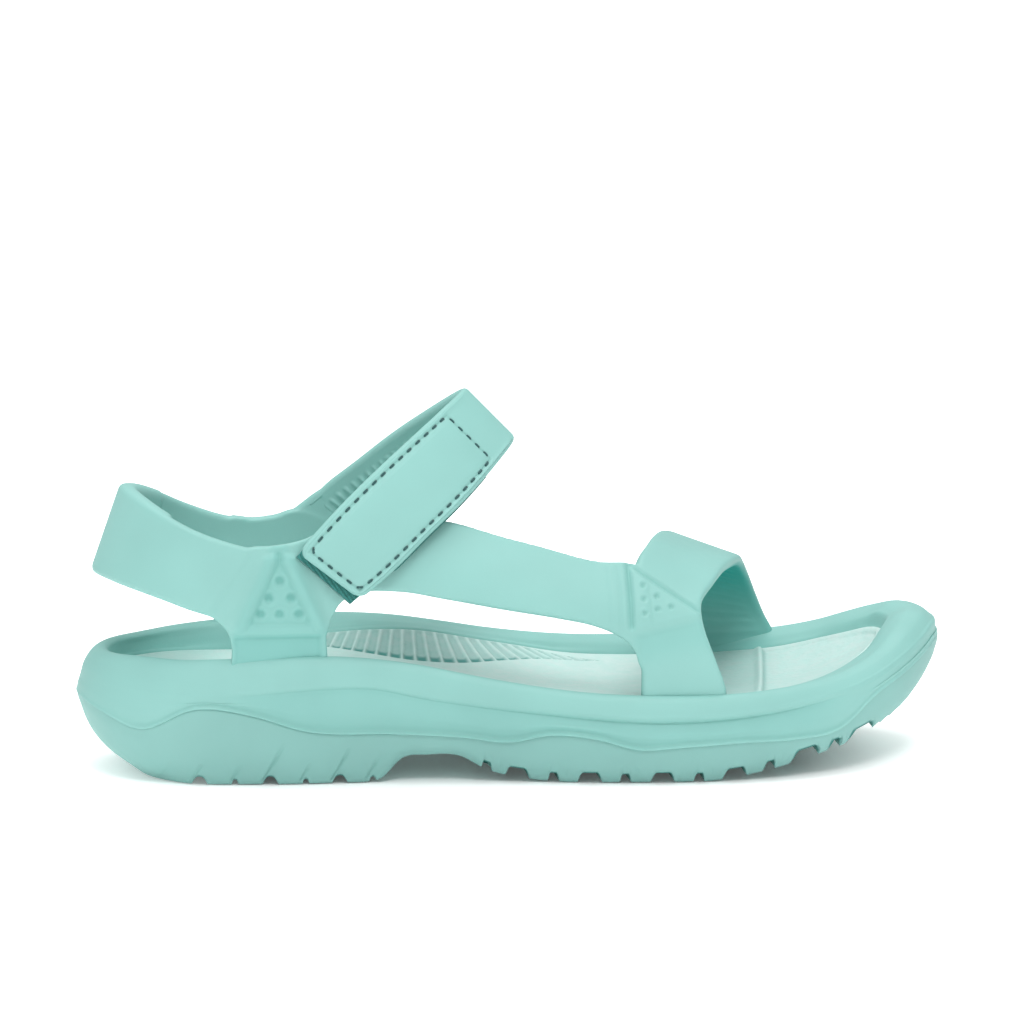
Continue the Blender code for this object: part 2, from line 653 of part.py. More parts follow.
def slot_cutter(name, rows, x_span, collection):
    """The space that a quarter's root takes in the midsole's rim, with clearance all round."""
    low, high = RIM_TOP - SLOT_DEPTH - GAP, RIM_TOP + 12
    x0, x1 = x_span[0] - GAP, x_span[1] + GAP
    outline = [(x0, low), (x1, low), (x1, high), (x0, high)]
    body = plate_solid(
        name, outline, rows, STRAP_THICKNESS + 2 * GAP, None, collection, sink=-GAP
    )
    return cutter(body)


# ---- closure ------------------------------------------------------------------------------------
def make_closure(foam, tape, thread, parts):
    """The strap over the instep, the flap hinged to it, and the layers that fasten the flap down."""
    strap = Strap(CLOSURE_FRONT, CLOSURE_BACK)
    hinge = strap.knots[HINGE_STATION]
    clearance = GAP / 2 / strap.length

    def on_flap(span):
        along, across = span
        return hinge + (1 - hinge) * np.array(along), across

    band_solid("instep_strap", strap, ((0.004, hinge - clearance), (0, 1)), STRAP_THICKNESS,
               foam, parts, stations=16)
    leaf = band_solid("closure_flap", strap, ((hinge + clearance, 1), (0, 1)), FLAP_THICKNESS,
                      foam, parts, stations=26, corner=0.06)
    under_flap = FLAP_THICKNESS + GAP
    hooks = band_solid("hook_patch", strap, on_flap(HOOK_SPAN), PATCH_THICKNESS, tape, parts,
                       sink=under_flap, stations=12, chamfer=0.02)
    hook_seam = thread_ring("hook_patch_stitching", strap, on_flap(HOOK_SEAM_SPAN),
                            -GAP - THREAD_DIAMETER / 2, thread, parts)
    hang((leaf, hooks, hook_seam), "flap_hinge_axis", strap.point(hinge, 0.5), parts)

    under_hook = under_flap + PATCH_THICKNESS + GAP
    band_solid("loop_patch", strap, on_flap(LOOP_SPAN), PATCH_THICKNESS, tape, parts,
               sink=under_hook, stations=12, chamfer=0.02)
    under_loop = under_hook + PATCH_THICKNESS + GAP
    band_solid("receiving_strap", strap, on_flap(RECEIVER_SPAN), STRAP_THICKNESS, foam, parts,
               sink=under_loop, stations=14, slant=RECEIVER_SLANT * (1 - hinge))
    thread_ring("loop_patch_stitching", strap, on_flap(LOOP_SEAM_SPAN),
                under_loop - GAP - THREAD_DIAMETER / 2, thread, parts)


# ---- the sandal ---------------------------------------------------------------------------------
def main():
    clear_scene()
    parts = new_collection("strappy_sport_sandal")
    tools = new_collection("cutters")
    foam = material("moulded_foam", (0.36, 0.66, 0.60), 0.6)
    tread = material("tread_foam", (0.31, 0.60, 0.55), 0.65)
    tape = material("hook_and_loop_tape", (0.10, 0.36, 0.33), 0.95)
    thread = material("thread", (0.06, 0.26, 0.25), 0.8)

    ring = Ring(RING_POINTS)
    outsole = make_outsole(ring, tread, parts)
    cut(outsole, groove_cutter(tools))
    midsole = make_midsole(ring, foam, parts)
    make_footbed(ring, foam, parts)

    toe = Strap(TOE_STRAP_BACK, TOE_STRAP_FRONT)
    band_solid("toe_strap", toe, ((0.004, 0.996), (0, 1)), STRAP_THICKNESS, foam, parts,
               stations=36)
    heel = Strap(HEEL_STRAP_LOW, HEEL_STRAP_HIGH)
    band_solid("heel_strap", heel, ((0.008, 0.992), (0, 1)), STRAP_THICKNESS, foam, parts,
               stations=30)
    plate_solid("lateral_quarter", QUARTER_OUTER, SKIN_OUTER, STRAP_THICKNESS, foam, parts)
    plate_solid("medial_quarter", QUARTER_INNER, SKIN_INNER, STRAP_THICKNESS, foam, parts)
    make_closure(foam, tape, thread, parts)

    for side, rows in (("outer", SKIN_OUTER), ("inner", SKIN_INNER)):
        cut(midsole, slot_cutter(f"{side}_rear_slot", rows, ROOT_SPANS[side], tools))
    for side, span in (("outer", (0, 0.2)), ("inner", (0.8, 1))):
        slot = band_solid(f"{side}_toe_slot", toe, (span, (-0.015, 1.015)),
                          STRAP_THICKNESS + 2 * GAP, None, tools, sink=-GAP, stations=8)
        cut(midsole, cutter(slot))


main()
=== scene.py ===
"""Looks of the strappy sport sandal: moulded foam, a stitched flap, hook and loop tape.

The shapes are drawn in millimetres for a sole 283 mm long, as in the CAD model, and UNIT carries
them to metres. +X is towards the toe, +Y towards the inner side and +Z up.
"""

import math

import bmesh
import bpy
import numpy as np
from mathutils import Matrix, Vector

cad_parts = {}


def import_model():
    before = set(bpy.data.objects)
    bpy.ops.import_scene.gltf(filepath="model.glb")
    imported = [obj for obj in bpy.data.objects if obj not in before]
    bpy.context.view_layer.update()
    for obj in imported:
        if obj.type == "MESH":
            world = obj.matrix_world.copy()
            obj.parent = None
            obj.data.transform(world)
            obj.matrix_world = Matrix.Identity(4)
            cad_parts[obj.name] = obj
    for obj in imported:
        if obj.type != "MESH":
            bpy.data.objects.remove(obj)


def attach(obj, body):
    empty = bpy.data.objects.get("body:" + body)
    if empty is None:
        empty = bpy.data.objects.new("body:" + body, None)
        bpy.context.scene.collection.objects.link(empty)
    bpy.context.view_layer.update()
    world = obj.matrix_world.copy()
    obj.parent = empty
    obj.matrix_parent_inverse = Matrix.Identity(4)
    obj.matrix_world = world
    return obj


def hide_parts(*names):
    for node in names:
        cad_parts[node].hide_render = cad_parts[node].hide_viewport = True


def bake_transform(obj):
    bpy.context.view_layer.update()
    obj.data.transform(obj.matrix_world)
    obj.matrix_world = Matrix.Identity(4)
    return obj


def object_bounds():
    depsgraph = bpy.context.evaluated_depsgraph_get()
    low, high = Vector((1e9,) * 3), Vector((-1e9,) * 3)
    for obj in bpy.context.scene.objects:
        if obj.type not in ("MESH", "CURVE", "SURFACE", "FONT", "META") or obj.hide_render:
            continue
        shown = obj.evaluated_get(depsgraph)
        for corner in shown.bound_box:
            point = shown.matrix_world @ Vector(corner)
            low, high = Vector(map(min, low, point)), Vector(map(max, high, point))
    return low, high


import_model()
CAD_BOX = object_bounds()

# ---- driving dimensions -------------------------------------------------------------------------
SOLE_LENGTH = 0.280
DRAWN_LENGTH = 283.0
DRAWN_CENTRE = (1.5, 0, 0)
UNIT = SOLE_LENGTH / DRAWN_LENGTH

GAP = 0.3
STRAP_THICKNESS = 4.0
HEEL_PAD_THICKNESS = 6.0
LEAF_THICKNESS = 2.3
PATCH_THICKNESS = 0.8
TAB_THICKNESS = 1.6
STITCH_PITCH = 4.1
STITCH_LENGTH = 2.0
THREAD_DIAMETER = 0.85

# Painted shade: this point attribute darkens grooves, recesses, creases and the insides of straps,
# where shade falls.
PAINTED_SHADE_ATTRIBUTE = "painted_shade"  # the attribute that darkens deep places
CURVE_SAMPLES = 20000  # samples of a curve before it is spaced evenly
RING_POINTS = 1500  # points round the sole
TREAD_ROWS, WALL_ROWS, BED_ROWS = 44, 26, 92  # rows under, round and on top of the sole
FINE_ROWS, PLAIN_ROWS = 0.18, 0.55  # gaps between the midsole's rows, at its lines and elsewhere
VOXEL = 0.45  # cell of the mesh that joins the moulded straps
RELAX_ROUNDS = 9
PLATE_CELL = 2.0
MERGE_DISTANCE = 2e-6  # in metres

# ---- sole tables: the CAD model's, drawn a little finer at the rim, crease and parting line ------
OUTLINE = [
    (-140, 0), (-133.5, -20), (-114, -33), (-80, -37), (-45, -37), (-8, -41),
    (30, -48), (60, -49.7), (91, -44.5), (117, -32.5), (135, -14), (143, 8),
    (137, 27), (118, 41.5), (89, 49), (58, 49.7), (24, 43.5), (-12, 36.5),
    (-48, 34.5), (-82, 37), (-114, 33), (-133.5, 20),
]
SPINE_SHARE = 0.78
RIM_OUTER = [
    (-140, 39.4), (-130, 39.8), (-113, 39.7), (-90, 40.3), (-57, 40.8), (-35, 38.3), (-14, 34.1),
    (13, 29.8), (43, 28.1), (80, 28.5), (96, 30), (114, 33.6), (124, 37.4), (132, 42.1),
    (140, 45.7),
]
RIM_INNER = [
    (-140, 39.6), (-113, 40.6), (-90, 42), (-57, 43.4), (-35, 42), (-19, 39.4), (-3, 36.4),
    (17, 33.4), (50, 31.2), (85, 31.7), (111, 36.2), (129, 42.4), (140, 45.7),
]
PARTING_OUTER = [
    (-140, 25.8), (-133, 22.6), (-122, 18.2), (-105, 25.3), (-86, 23), (-70, 17.9), (-40, 16.2),
    (-18, 14.9), (-4, 13.4), (8, 15.9), (22, 15), (38, 11.1), (46, 11.7), (70, 12.9), (87, 13),
    (104, 15.5), (115, 24.2), (127, 30), (140, 37),
]
PARTING_INNER = [
    (-140, 25.8), (-133, 22.6), (-122, 18.2), (-105, 24.8), (-86, 22), (-66, 17), (-40, 16),
    (-12, 15), (10, 16.5), (30, 14.4), (46, 11), (58, 12), (80, 13), (98, 14.5), (112, 19),
    (122, 26), (132, 31), (140, 37),
]
CREASE_OUTER = [
    (-140, 32), (-115, 29.6), (-89, 29.2), (-72, 30.4), (-60, 31), (-48, 30.8), (-32, 27.5),
    (-15, 24.8), (1, 22.8), (17, 21.2), (34, 19.9), (54, 19.7), (77, 21.1), (100, 24.8),
    (114, 28.4), (128, 34.3), (140, 40),
]
CREASE_INNER = [
    (-140, 32), (-115, 29.6), (-90, 30), (-72, 31.4), (-50, 32), (-28, 29), (-5, 25.4), (20, 22.5),
    (45, 20.6), (70, 21.4), (95, 25.4), (115, 31), (130, 36.5), (140, 41),
]
GROUND = [
    (-140, 19), (-134, 9), (-128, 3.2), (-120, 0.4), (-113, 0), (-50, 0), (-45, 1), (-38, 7.6),
    (-30, 8.6), (-20, 8.2), (-11, 3.6), (0, 1.1), (13, 0), (60, 0), (75, 1.9), (98, 6.8),
    (107, 9), (118, 12.8), (126, 16), (133, 20), (140, 26),
]
TREAD_TOP = [
    (-140, 24), (-122, 17), (-100, 14.5), (-60, 13.5), (-30, 13.5), (0, 11.5), (40, 9.6),
    (75, 10.4), (98, 14), (118, 21.5), (130, 28), (140, 35),
]
FOOTBED = [
    (-140, 32), (-112, 32.2), (-85, 31.6), (-57, 32.2), (-30, 31), (-5, 28), (20, 25.6),
    (45, 24.4), (75, 24.4), (98, 27.3), (115, 32.8), (128, 38.4), (140, 42.2),
]
ARCH_RISE = [(-85, 0), (-60, 4.0), (-30, 5.9), (0, 3.8), (25, 0.9), (45, 0)]
CUP_DEPTH = [(-140, 8), (-60, 8), (-20, 6.4), (20, 4.8), (90, 4.6), (140, 5)]
BEVEL = [
    (-140, 19.6), (-131, 15.8), (-120, 10.4), (-105, 5), (-88, 3.4), (0, 3.2), (60, 3.4), (95, 3.8),
    (118, 4.8), (130, 6.2), (140, 8),
]
# The tread wall's inset as a share of BEVEL, from the ground up to the parting line.
WALL_INSET = [(0, 1), (0.28, 0.39), (0.72, 0.05), (1, 0)]
LEAN = [(-140, 0.95), (-115, 1.05), (-85, 1.0), (100, 1.0), (120, 1.15), (140, 1.4)]
TILT = [(-140, 0.15), (-126, 0.13), (-110, 0.05), (-98, 0), (140, 0)]  # inset for each mm of height
FOOTBED_INSET = 13.3
FOOTBED_DEPTH = 5.3
FOOTBED_EDGE_RISE = 1.6
SHOULDER_INSET = 6.0  # the hidden step between the tread and the midsole
TOE_BORDER = [(-140, 0), (96, 0), (112, 1.6), (128, 3.8), (143, 5)]  # more inset at the toe

# Where the crease along the side wall and the bead on the parting line are full, and where faded.
CREASE_FADE = [
    (-140, 0), (-96, 0), (-78, 0.5), (-52, 0.75), (-20, 0.85), (92, 0.8), (106, 0), (140, 0),
]
BEAD_FADE = [(-140, 0), (-134, 0.5), (-122, 0.9), (112, 0.9), (126, 0.5), (140, 0)]

# Grooves across the tread: their places, and the kinds that take turns.
GROOVE_RUNS = [
    ([-102.6, -91.4, -80.2, -68.9, -58, -47.5], ("heel wide", "heel narrow")),
    ([-11.2, -1.5, 9.8, 21.2, 32.4, 44.3, 56, 67.6, 79, 91, 101, 110.5],
     ("fore narrow", "fore wide")),
    ([117, 120.6, 124.2, 127.6], ("serration", "serration")),
]
# Depth, half width at the ground, share of it that slopes, and how far in from the side it runs.
GROOVE_KINDS = {
    "heel wide": (2.5, 2.5, 0.85, 1.0),
    "heel narrow": (1.5, 1.1, 0.7, 0.3),
    "fore narrow": (2.9, 1.7, 0.5, 0.3),
    "fore wide": (3.3, 3.8, 0.45, 1.0),
    "serration": (0.9, 1.5, 1.0, 1.0),
}
# Soft slanted steps in the heel's side wall: X at the bottom, length, depth.
HEEL_FACETS = [
    (-116, 8, 0.6), (-105.5, 9, 0.7), (-93, 8, 0.6), (-83, 15, 1.1), (-71, 8, 0.7), (-61, 13, 1.0),
    (-50, 10, 0.8),
]
FACET_SLANT = 0.55
# The ribbed leaf under the arch, on the inner side: X, and the share of the way in.
LEAF_TOP = [(-66, 0), (-4, 0), (10, 0.02), (20, 0.1), (34, 0.23)]
LEAF_FOOT = [
    (-66, 0.2), (-60, 0.36), (-53, 0.5), (-44, 0.66), (-31, 0.82), (-17, 0.78), (-1, 0.54),
    (15, 0.31), (34, 0.25),
]
# How the leaf's ribs fan out: X at the top, run along X for each millimetre inward.
LEAF_FAN = [
    (-66, -0.45), (-53, -0.39), (-40, -0.25), (-31, -0.12), (-18, 0.1), (-5, 0.5), (8, 1.1),
    (34, 1.6),
]
LEAF_PITCH = 3.55
LEAF_ENDS = (-64, 33.5)

# ---- upper tables: the CAD model's, with edges that lap where the moulding is joined ------------
TOE_STRAP_BACK = [
    (37.5, -44.6, 20), (37.5, -46, 30), (37.3, -46.6, 40), (35.6, -45, 48.5), (35.4, -40.6, 59.4),
    (37.8, -33, 69.8), (43.2, -20, 73.8), (47.6, -5, 74.1), (52, 9, 72.6), (57, 22.5, 68.8),
    (61.5, 34, 60), (64, 41, 49), (64.6, 44.6, 38), (64.4, 44.8, 29), (64, 44, 20),
]
TOE_STRAP_FRONT = [
    (65.5, -44.2, 19), (65, -45.6, 29), (62, -46, 38), (58, -44.6, 49.5), (57.6, -40.8, 57.4),
    (63.6, -31, 63), (68.4, -19.5, 65), (73.4, -7, 65.1), (78, 7, 63.4), (81, 20, 60),
    (84.6, 31, 53.6), (88.6, 39.6, 44.6), (91.6, 43.2, 37.4), (94.6, 43.8, 31), (96.4, 43, 22),
]
HEEL_STRAP_LOW = [
    (-100, -35, 55), (-104.6, -34.2, 56.4), (-113, -30.8, 59.2), (-122.4, -23.6, 61.8),
    (-130.6, -12.6, 63.6), (-135, 0, 64.4), (-130.6, 12.6, 64.2), (-122.4, 23.6, 62.6),
    (-112.6, 30.6, 60), (-104, 34, 57.4), (-100, 34.6, 56),
]
HEEL_STRAP_HIGH = [
    (-85.6, -34.6, 76.2), (-91, -34, 77.6), (-103, -31, 81.6), (-113, -24.4, 86.2),
    (-121.4, -13, 90.6), (-125.1, 0, 92.6), (-121.4, 12.6, 91), (-113, 23.8, 86.8),
    (-102, 31.4, 81), (-90, 33.8, 76.6), (-84, 34.4, 75.2),
]
CLOSURE_BACK = [
    (-67, 34.4, 77.6), (-57.8, 34, 84.7), (-47, 31, 93.4), (-36.5, 24.4, 103),
    (-26.6, 14, 112), (-14, -1.4, 122.2), (-24, -14.4, 115.8), (-36, -23.4, 107.2),
    (-48.2, -30, 97.6), (-60, -35.4, 87.2), (-71.4, -39.2, 75.6),
]
CLOSURE_FRONT = [
    (-44, 34.4, 60), (-35, 34, 66.2), (-26, 32, 74.4), (-16.6, 27, 84.2), (-7.4, 17, 95),
    (2.4, -3, 105.4), (-6.4, -17.4, 98.2), (-17.4, -27, 88.8), (-29.6, -34, 78.9), (-41, -38.8, 69),
    (-51.8, -41, 60.4),
]
HINGE_STATION = 5
QUARTER_OUTER = [
    (-92.3, 34.8), (-61.6, 34.8), (-61.8, 43), (-62, 48), (-60, 54), (-57.4, 58.2), (-52, 61),
    (-40, 61.4), (-23.5, 58.7), (-7.4, 56), (12, 53), (22.4, 50.8), (29, 48.1), (33.1, 45.3),
    (35.7, 41.6), (37.2, 37), (41, 36), (41, 47.5), (39.4, 60), (38, 68.4), (35.4, 69.2),
    (26, 69.8), (7, 74.4), (-6, 77.8), (-19, 81.6),
    (-27, 83.2), (-62, 81.4), (-70, 78.4), (-79, 77), (-87, 76.4), (-94.6, 67.5), (-102, 56.6),
    (-97.4, 53.6), (-93.6, 49.4), (-92.3, 45),
]
QUARTER_INNER = [
    (-93, 34.8), (-63.6, 34.8), (-63.2, 44), (-61.6, 49), (-57.4, 54), (-52, 57), (-45, 59.4),
    (-66.8, 77.8), (-73, 76), (-80, 75.3), (-87.5, 75.9), (-94.5, 66), (-102.5, 56.8),
    (-96.8, 52), (-93.4, 45),
]
SKIN_STATIONS = (-101, -77, -55, -25, 5, 35, 66)
SKIN_LEVELS = (30, 46, 58, 70, 84)
SKIN_OUTER = [
    (-32.4, -33.4, -33.4, -36.6, -41.4, -45.4, -46),
    (-34, -34.6, -34.6, -36.4, -41.4, -45.4, -46),
    (-34.4, -34.8, -34.6, -34.6, -38, -41.6, -42),
    (-34, -34.6, -33.6, -31.4, -31.6, -33, -33),
    (-32, -33, -30, -23, -22, -21, -21),
]
SKIN_INNER = [
    (32.4, 33, 31.6, 31.6, 35, 41.2, 45),
    (33.6, 34.6, 34, 33.6, 36, 41, 44.4),
    (33.8, 34.8, 34.6, 33.8, 34.6, 37.6, 40.6),
    (34, 34.6, 34.4, 33, 31, 31.6, 32.6),
    (32, 33.4, 33, 30, 22, 20, 20),
]

# ---- places on the closure: shares along the flap and across it ---------------------------------
HOOK_SPAN = ((0.13, 0.972), (0.03, 0.97))
LOOP_SPAN = ((0.24, 0.82), (-0.02, 0.94))
LOOP_SEAM_EDGE = 5.6
HOOK_PITCH, HOOK_RADIUS = 1.35, 0.09
LOOP_PITCH, LOOP_RADIUS = 0.85, 0.07
HOOK_SHAPE = [(0, 0), (0, 0.25), (0.06, 0.42), (0.2, 0.5), (0.34, 0.42), (0.38, 0.3)]
THINNING = 6  # the strap thins to the flap's leaf over this length on each side of the hinge
TAB_START = 0.9  # where the tape's ribbed end starts, as a share of the closure's length
TAB_PAST = 2.9  # how far it shows past the flap's tip
TAB_SLANT = -0.0125
SEAM_START = 0.195  # where the flap's seam starts, as a share of the flap's length
SEAM_EDGE = 2.5
RECEIVER_SPAN = ((0.22, 0.40), (0.06, 0.94))
RECEIVER_SLANT = 0.45

# ---- relief on the posts: places in X and Z -----------------------------------------------------
REAR_DIMPLES = [
    (-76.9, 66), (-80.4, 60.6), (-73.4, 60.4), (-83.1, 55.4), (-77, 55.2), (-70.9, 55.1),
]
REAR_APEX_DIMPLE = (-77, 73.6)
REAR_LEFT_BAR = ((-79.1, 74), (-89.4, 51.8))
REAR_RIGHT_BAR = ((-74.8, 74), (-64.2, 51.2))
REAR_BASE_BAR = ((-91, 50.3), (-63.4, 49.7))
TOE_DIMPLES = [(38.8, 62.6), (38.8, 58.6), (38.8, 54.4), (43, 59.2), (43, 55.5), (47.4, 56)]
TOE_PANEL_TOP = ((35.5, 68.2), (57.4, 53.8))
TOE_PANEL_FOOT = ((34.6, 49.2), (57.4, 53.8))


# ---- curves -------------------------------------------------------------------------------------
def bracket(knots, at):
    """The knot before each place, the span to the next knot, and the share of it that is passed."""
    at = np.clip(np.asarray(at, float), knots[0], knots[-1])
    i = np.clip(np.searchsorted(knots, at, side="right") - 1, 0, len(knots) - 2)
    span = knots[i + 1] - knots[i]
    return i, span, (at - knots[i]) / span


def hermite(values, slopes, now, ahead, span, t):
    """The cubic between the values at two indices, with the slopes there."""
    return (
        (2 * t**3 - 3 * t**2 + 1) * values[now]
        + (t**3 - 2 * t**2 + t) * span * slopes[now]
        + (3 * t**2 - 2 * t**3) * values[ahead]
        + (t**3 - t**2) * span * slopes[ahead]
    )


def smooth(knots, values, at):
    """The smooth curve through values at knots, read at each place in at."""
    knots, values = np.asarray(knots, float), np.asarray(values, float)
    i, span, t = bracket(knots, at)
    while span.ndim < values[i].ndim:
        span, t = span[..., None], t[..., None]
    return hermite(values, np.gradient(values, knots, axis=0), i, i + 1, span, t)


def table(pairs, at):
    """A table of (X, value) pairs read as a smooth curve."""
    knots, values = zip(*pairs)
    return smooth(knots, values, at)


def ground_line(x):
    return np.maximum(table(GROUND, x), 0)


def lengths_along(points):
    """The length of a line of points up to each of them."""
    steps = np.linalg.norm(np.diff(points, axis=0), axis=1)
    return np.concatenate([[0], np.cumsum(steps)])


def resample(points, count, closed=False):
    """count points spaced evenly along the smooth curve through points."""
    points = np.asarray(points, float)
    if closed:
        points = np.concatenate([points[-3:], points, points[:4]])
    knots = lengths_along(points)
    start, end = (knots[3], knots[-4]) if closed else (0, knots[-1])
    fine = smooth(knots, points, np.linspace(start, end, CURVE_SAMPLES))
    along = lengths_along(fine)
    places = np.linspace(0, along[-1], count + 1 if closed else count)
    even = np.stack([np.interp(places, along, fine[:, k]) for k in range(fine.shape[1])], axis=1)
    return even[:-1] if closed else even


def unit(vectors):
    return vectors / np.linalg.norm(vectors, axis=-1, keepdims=True)


def step(values, start, end):
    """0 before start and 1 after end, with a soft rise between."""
    t = np.clip((values - start) / (end - start), 0, 1)
    return t * t * (3 - 2 * t)


def hump(distance, half_width):
    """1 at no distance, falling to 0 well past half_width."""
    return np.exp(-((distance / half_width) ** 2))


def to_line(points, line):
    """Distance of points in a plane to a straight line between two ends."""
    start, end = np.asarray(line, float)
    run = end - start
    share = np.clip((points - start) @ run / (run @ run), 0, 1)
    return np.linalg.norm(points - start - share[:, None] * run, axis=1)


def side_of(points, line):
    """Signed distance to the straight line through two ends, positive on its left."""
    start, end = np.asarray(line, float)
    run = unit(end - start)
    away = points - start
    return run[0] * away[:, 1] - run[1] * away[:, 0]


# ---- meshes -------------------------------------------------------------------------------------
def world(points):
    """Drawn millimetres carried to metres about the sandal's middle."""
    return (np.asarray(points) - DRAWN_CENTRE) * UNIT


def raw_mesh(name, points, faces):
    mesh = bpy.data.meshes.new(name)
    mesh.from_pydata(np.asarray(points).tolist(), [], [list(face) for face in faces])
    return mesh


def tidy_mesh(mesh, distance):
    """Makes coincident points one and turns every face outward."""
    shape = bmesh.new()
    shape.from_mesh(mesh)
    bmesh.ops.remove_doubles(shape, verts=shape.verts, dist=distance)
    bmesh.ops.recalc_face_normals(shape, faces=shape.faces)
    shape.to_mesh(mesh)
    shape.free()


def together(solids):
    """Several solids as one set of points and faces."""
    points, faces, first = [], [], 0
    for solid_points, solid_faces in solids:
        points.append(solid_points)
        faces += [tuple(first + i for i in face) for face in solid_faces]
        first += len(solid_points)
    return np.concatenate(points), faces


def place_in_scene(name, data):
    """A new object with this data, linked into the scene."""
    obj = bpy.data.objects.new(name, data)
    bpy.context.scene.collection.objects.link(obj)
    return obj


def result_of(obj, *helpers):
    """The mesh that an object's curve or modifiers give. The objects are then removed."""
    bpy.context.view_layer.update()
    graph = bpy.context.evaluated_depsgraph_get()
    mesh = bpy.data.meshes.new_from_object(obj.evaluated_get(graph))
    for used in (obj, *helpers):
        bpy.data.objects.remove(used)
    return mesh


def piece(name, points, faces, finish, body, replaced=(), merge=True, painted_shade=None):
    """A finished piece from points in drawn millimetres, with painted shade in its deep places
    where a share of it is given.
    """
    mesh = raw_mesh(name, world(points), faces)
    if painted_shade is not None:
        mesh.attributes.new(PAINTED_SHADE_ATTRIBUTE, "FLOAT", "POINT").data.foreach_set("value", painted_shade)
    if merge:
        tidy_mesh(mesh, MERGE_DISTANCE)
    mesh.shade_smooth()
    mesh.materials.append(finish)
    obj = place_in_scene(name, mesh)
    if body:
        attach(obj, body)
    if replaced:
        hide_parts(*replaced)
    return obj


def loft_faces(rows, columns, closed=True):
    """Quads between rows of like points."""
    index = np.arange(rows * columns).reshape(rows, columns)
    ahead = np.roll(index, -1, axis=1)
    quads = np.stack([index[:-1], ahead[:-1], ahead[1:], index[1:]], axis=-1)
    return (quads if closed else quads[:, :-1]).reshape(-1, 4)


# ---- sole ---------------------------------------------------------------------------------------
class Ring:
    """The sole's outline, its inward normals, and the middle line that every section runs to."""

    def __init__(self, count):
        self.plan = resample(OUTLINE, count, closed=True)
        self.pitch = np.linalg.norm(self.plan[1] - self.plan[0])
        self.plan = self.even(self.plan, 2.0)
        around = np.roll(self.plan, -1, axis=0) - np.roll(self.plan, 1, axis=0)
        tangent = unit(around)
        self.inward = np.stack([-tangent[:, 1], tangent[:, 0]], axis=1)
        opposite = self.plan[(-np.arange(count)) % count]
        self.middle = (self.plan + opposite) / 2 * (SPINE_SHARE, 1)
        across = self.plan[:, 1] - self.middle[:, 1]
        self.inner_share = step(across, -25, 25)

    def even(self, values, width):
        """Values round the sole, evened out over a width in millimetres."""
        rate = np.fft.fftfreq(len(values), d=self.pitch)
        gain = np.exp(-2 * (np.pi * rate * width) ** 2)
        if values.ndim > 1:
            gain = gain[:, None]
        return np.fft.ifft(np.fft.fft(values, axis=0) * gain, axis=0).real

    def along(self, pairs):
        return self.even(table(pairs, self.plan[:, 0]), 1.5)

    def height(self, outer, inner):
        """Both sides' tables, joined smoothly round the heel and the toe."""
        x = self.plan[:, 0]
        both = table(outer, x) * (1 - self.inner_share) + table(inner, x) * self.inner_share
        return self.even(both, 2.0)

    def level(self, inset, z):
        """A ring of points at a distance inside the outline."""
        plan = self.plan + self.inward * np.broadcast_to(inset, len(self.plan))[:, None]
        return np.column_stack([plan, np.broadcast_to(z, len(plan))])

    def towards_middle(self, level, share, heights):
        plan = level[:, :2] + (self.middle - level[:, :2]) * share
        return np.column_stack([plan, heights(plan[:, 0], share)])


def groove_height(x, inward):
    """How far the tread's grooves rise above the ground line, at a share of the way in."""
    rise = np.zeros_like(x)
    for places, kinds in GROOVE_RUNS:
        for k, place in enumerate(places):
            depth, half, slope, reach = GROOVE_KINDS[kinds[k % 2]]
            grow = 1 + 0.35 * step(place, 60, 100)
            off = np.abs(x - place) / (half * grow)
            shape = np.sin(np.pi / 2 * np.clip((1 - off) / slope, 0, 1))
            ends = 1 - step(inward, reach, reach + 0.06) if reach < 1 else 1
            rise = np.maximum(rise, depth * grow * shape * ends)
    return rise


def tread_foot(x, inward=0.0):
    """The tread's underside, with its grooves."""
    return ground_line(x) + groove_height(x, inward)


def heel_facets(level):
    """Depth of the slanted steps above the heel's tread."""
    dent = np.zeros(len(level))
    for x, length, depth in HEEL_FACETS:
        past = level[:, 0] - x - FACET_SLANT * (level[:, 2] - 1)
        fade = step(level[:, 2], 0, 2) * (1 - step(level[:, 2], 0.5 * length, length))
        dent += depth * fade * step(past, -0.5, 0.2) * np.exp(-np.maximum(past, 0) / 2.2)
    return dent


def notch_creases(level, ground):
    """Fine upright creases above the forefoot's narrow grooves."""
    narrow = np.array(GROOVE_RUNS[1][0][::2])
    away = level[:, 0][:, None] - narrow
    near = away[np.arange(len(away)), np.abs(away).argmin(axis=1)]
    up = level[:, 2] - ground
    fade = step(up, 1.5, 2.5) * (1 - step(up, 3.5, 6.5))
    lines = 0.32 * hump(near + 1.3, 0.4) + 0.22 * hump(near - 1.2, 0.4) + 0.2 * hump(near - 4, 0.4)
    return lines * fade


def shoulder(ring, lift):
    """Rows over the tread's hidden top, from its shoulder to the middle line."""
    edge = ring.level(SHOULDER_INSET, 0)
    edge[:, 2] = table(TREAD_TOP, edge[:, 0]) + lift
    return [edge] + [
        ring.towards_middle(edge, share, lambda x, _: table(TREAD_TOP, x) + lift)
        for share in (0.5, 1)
    ]


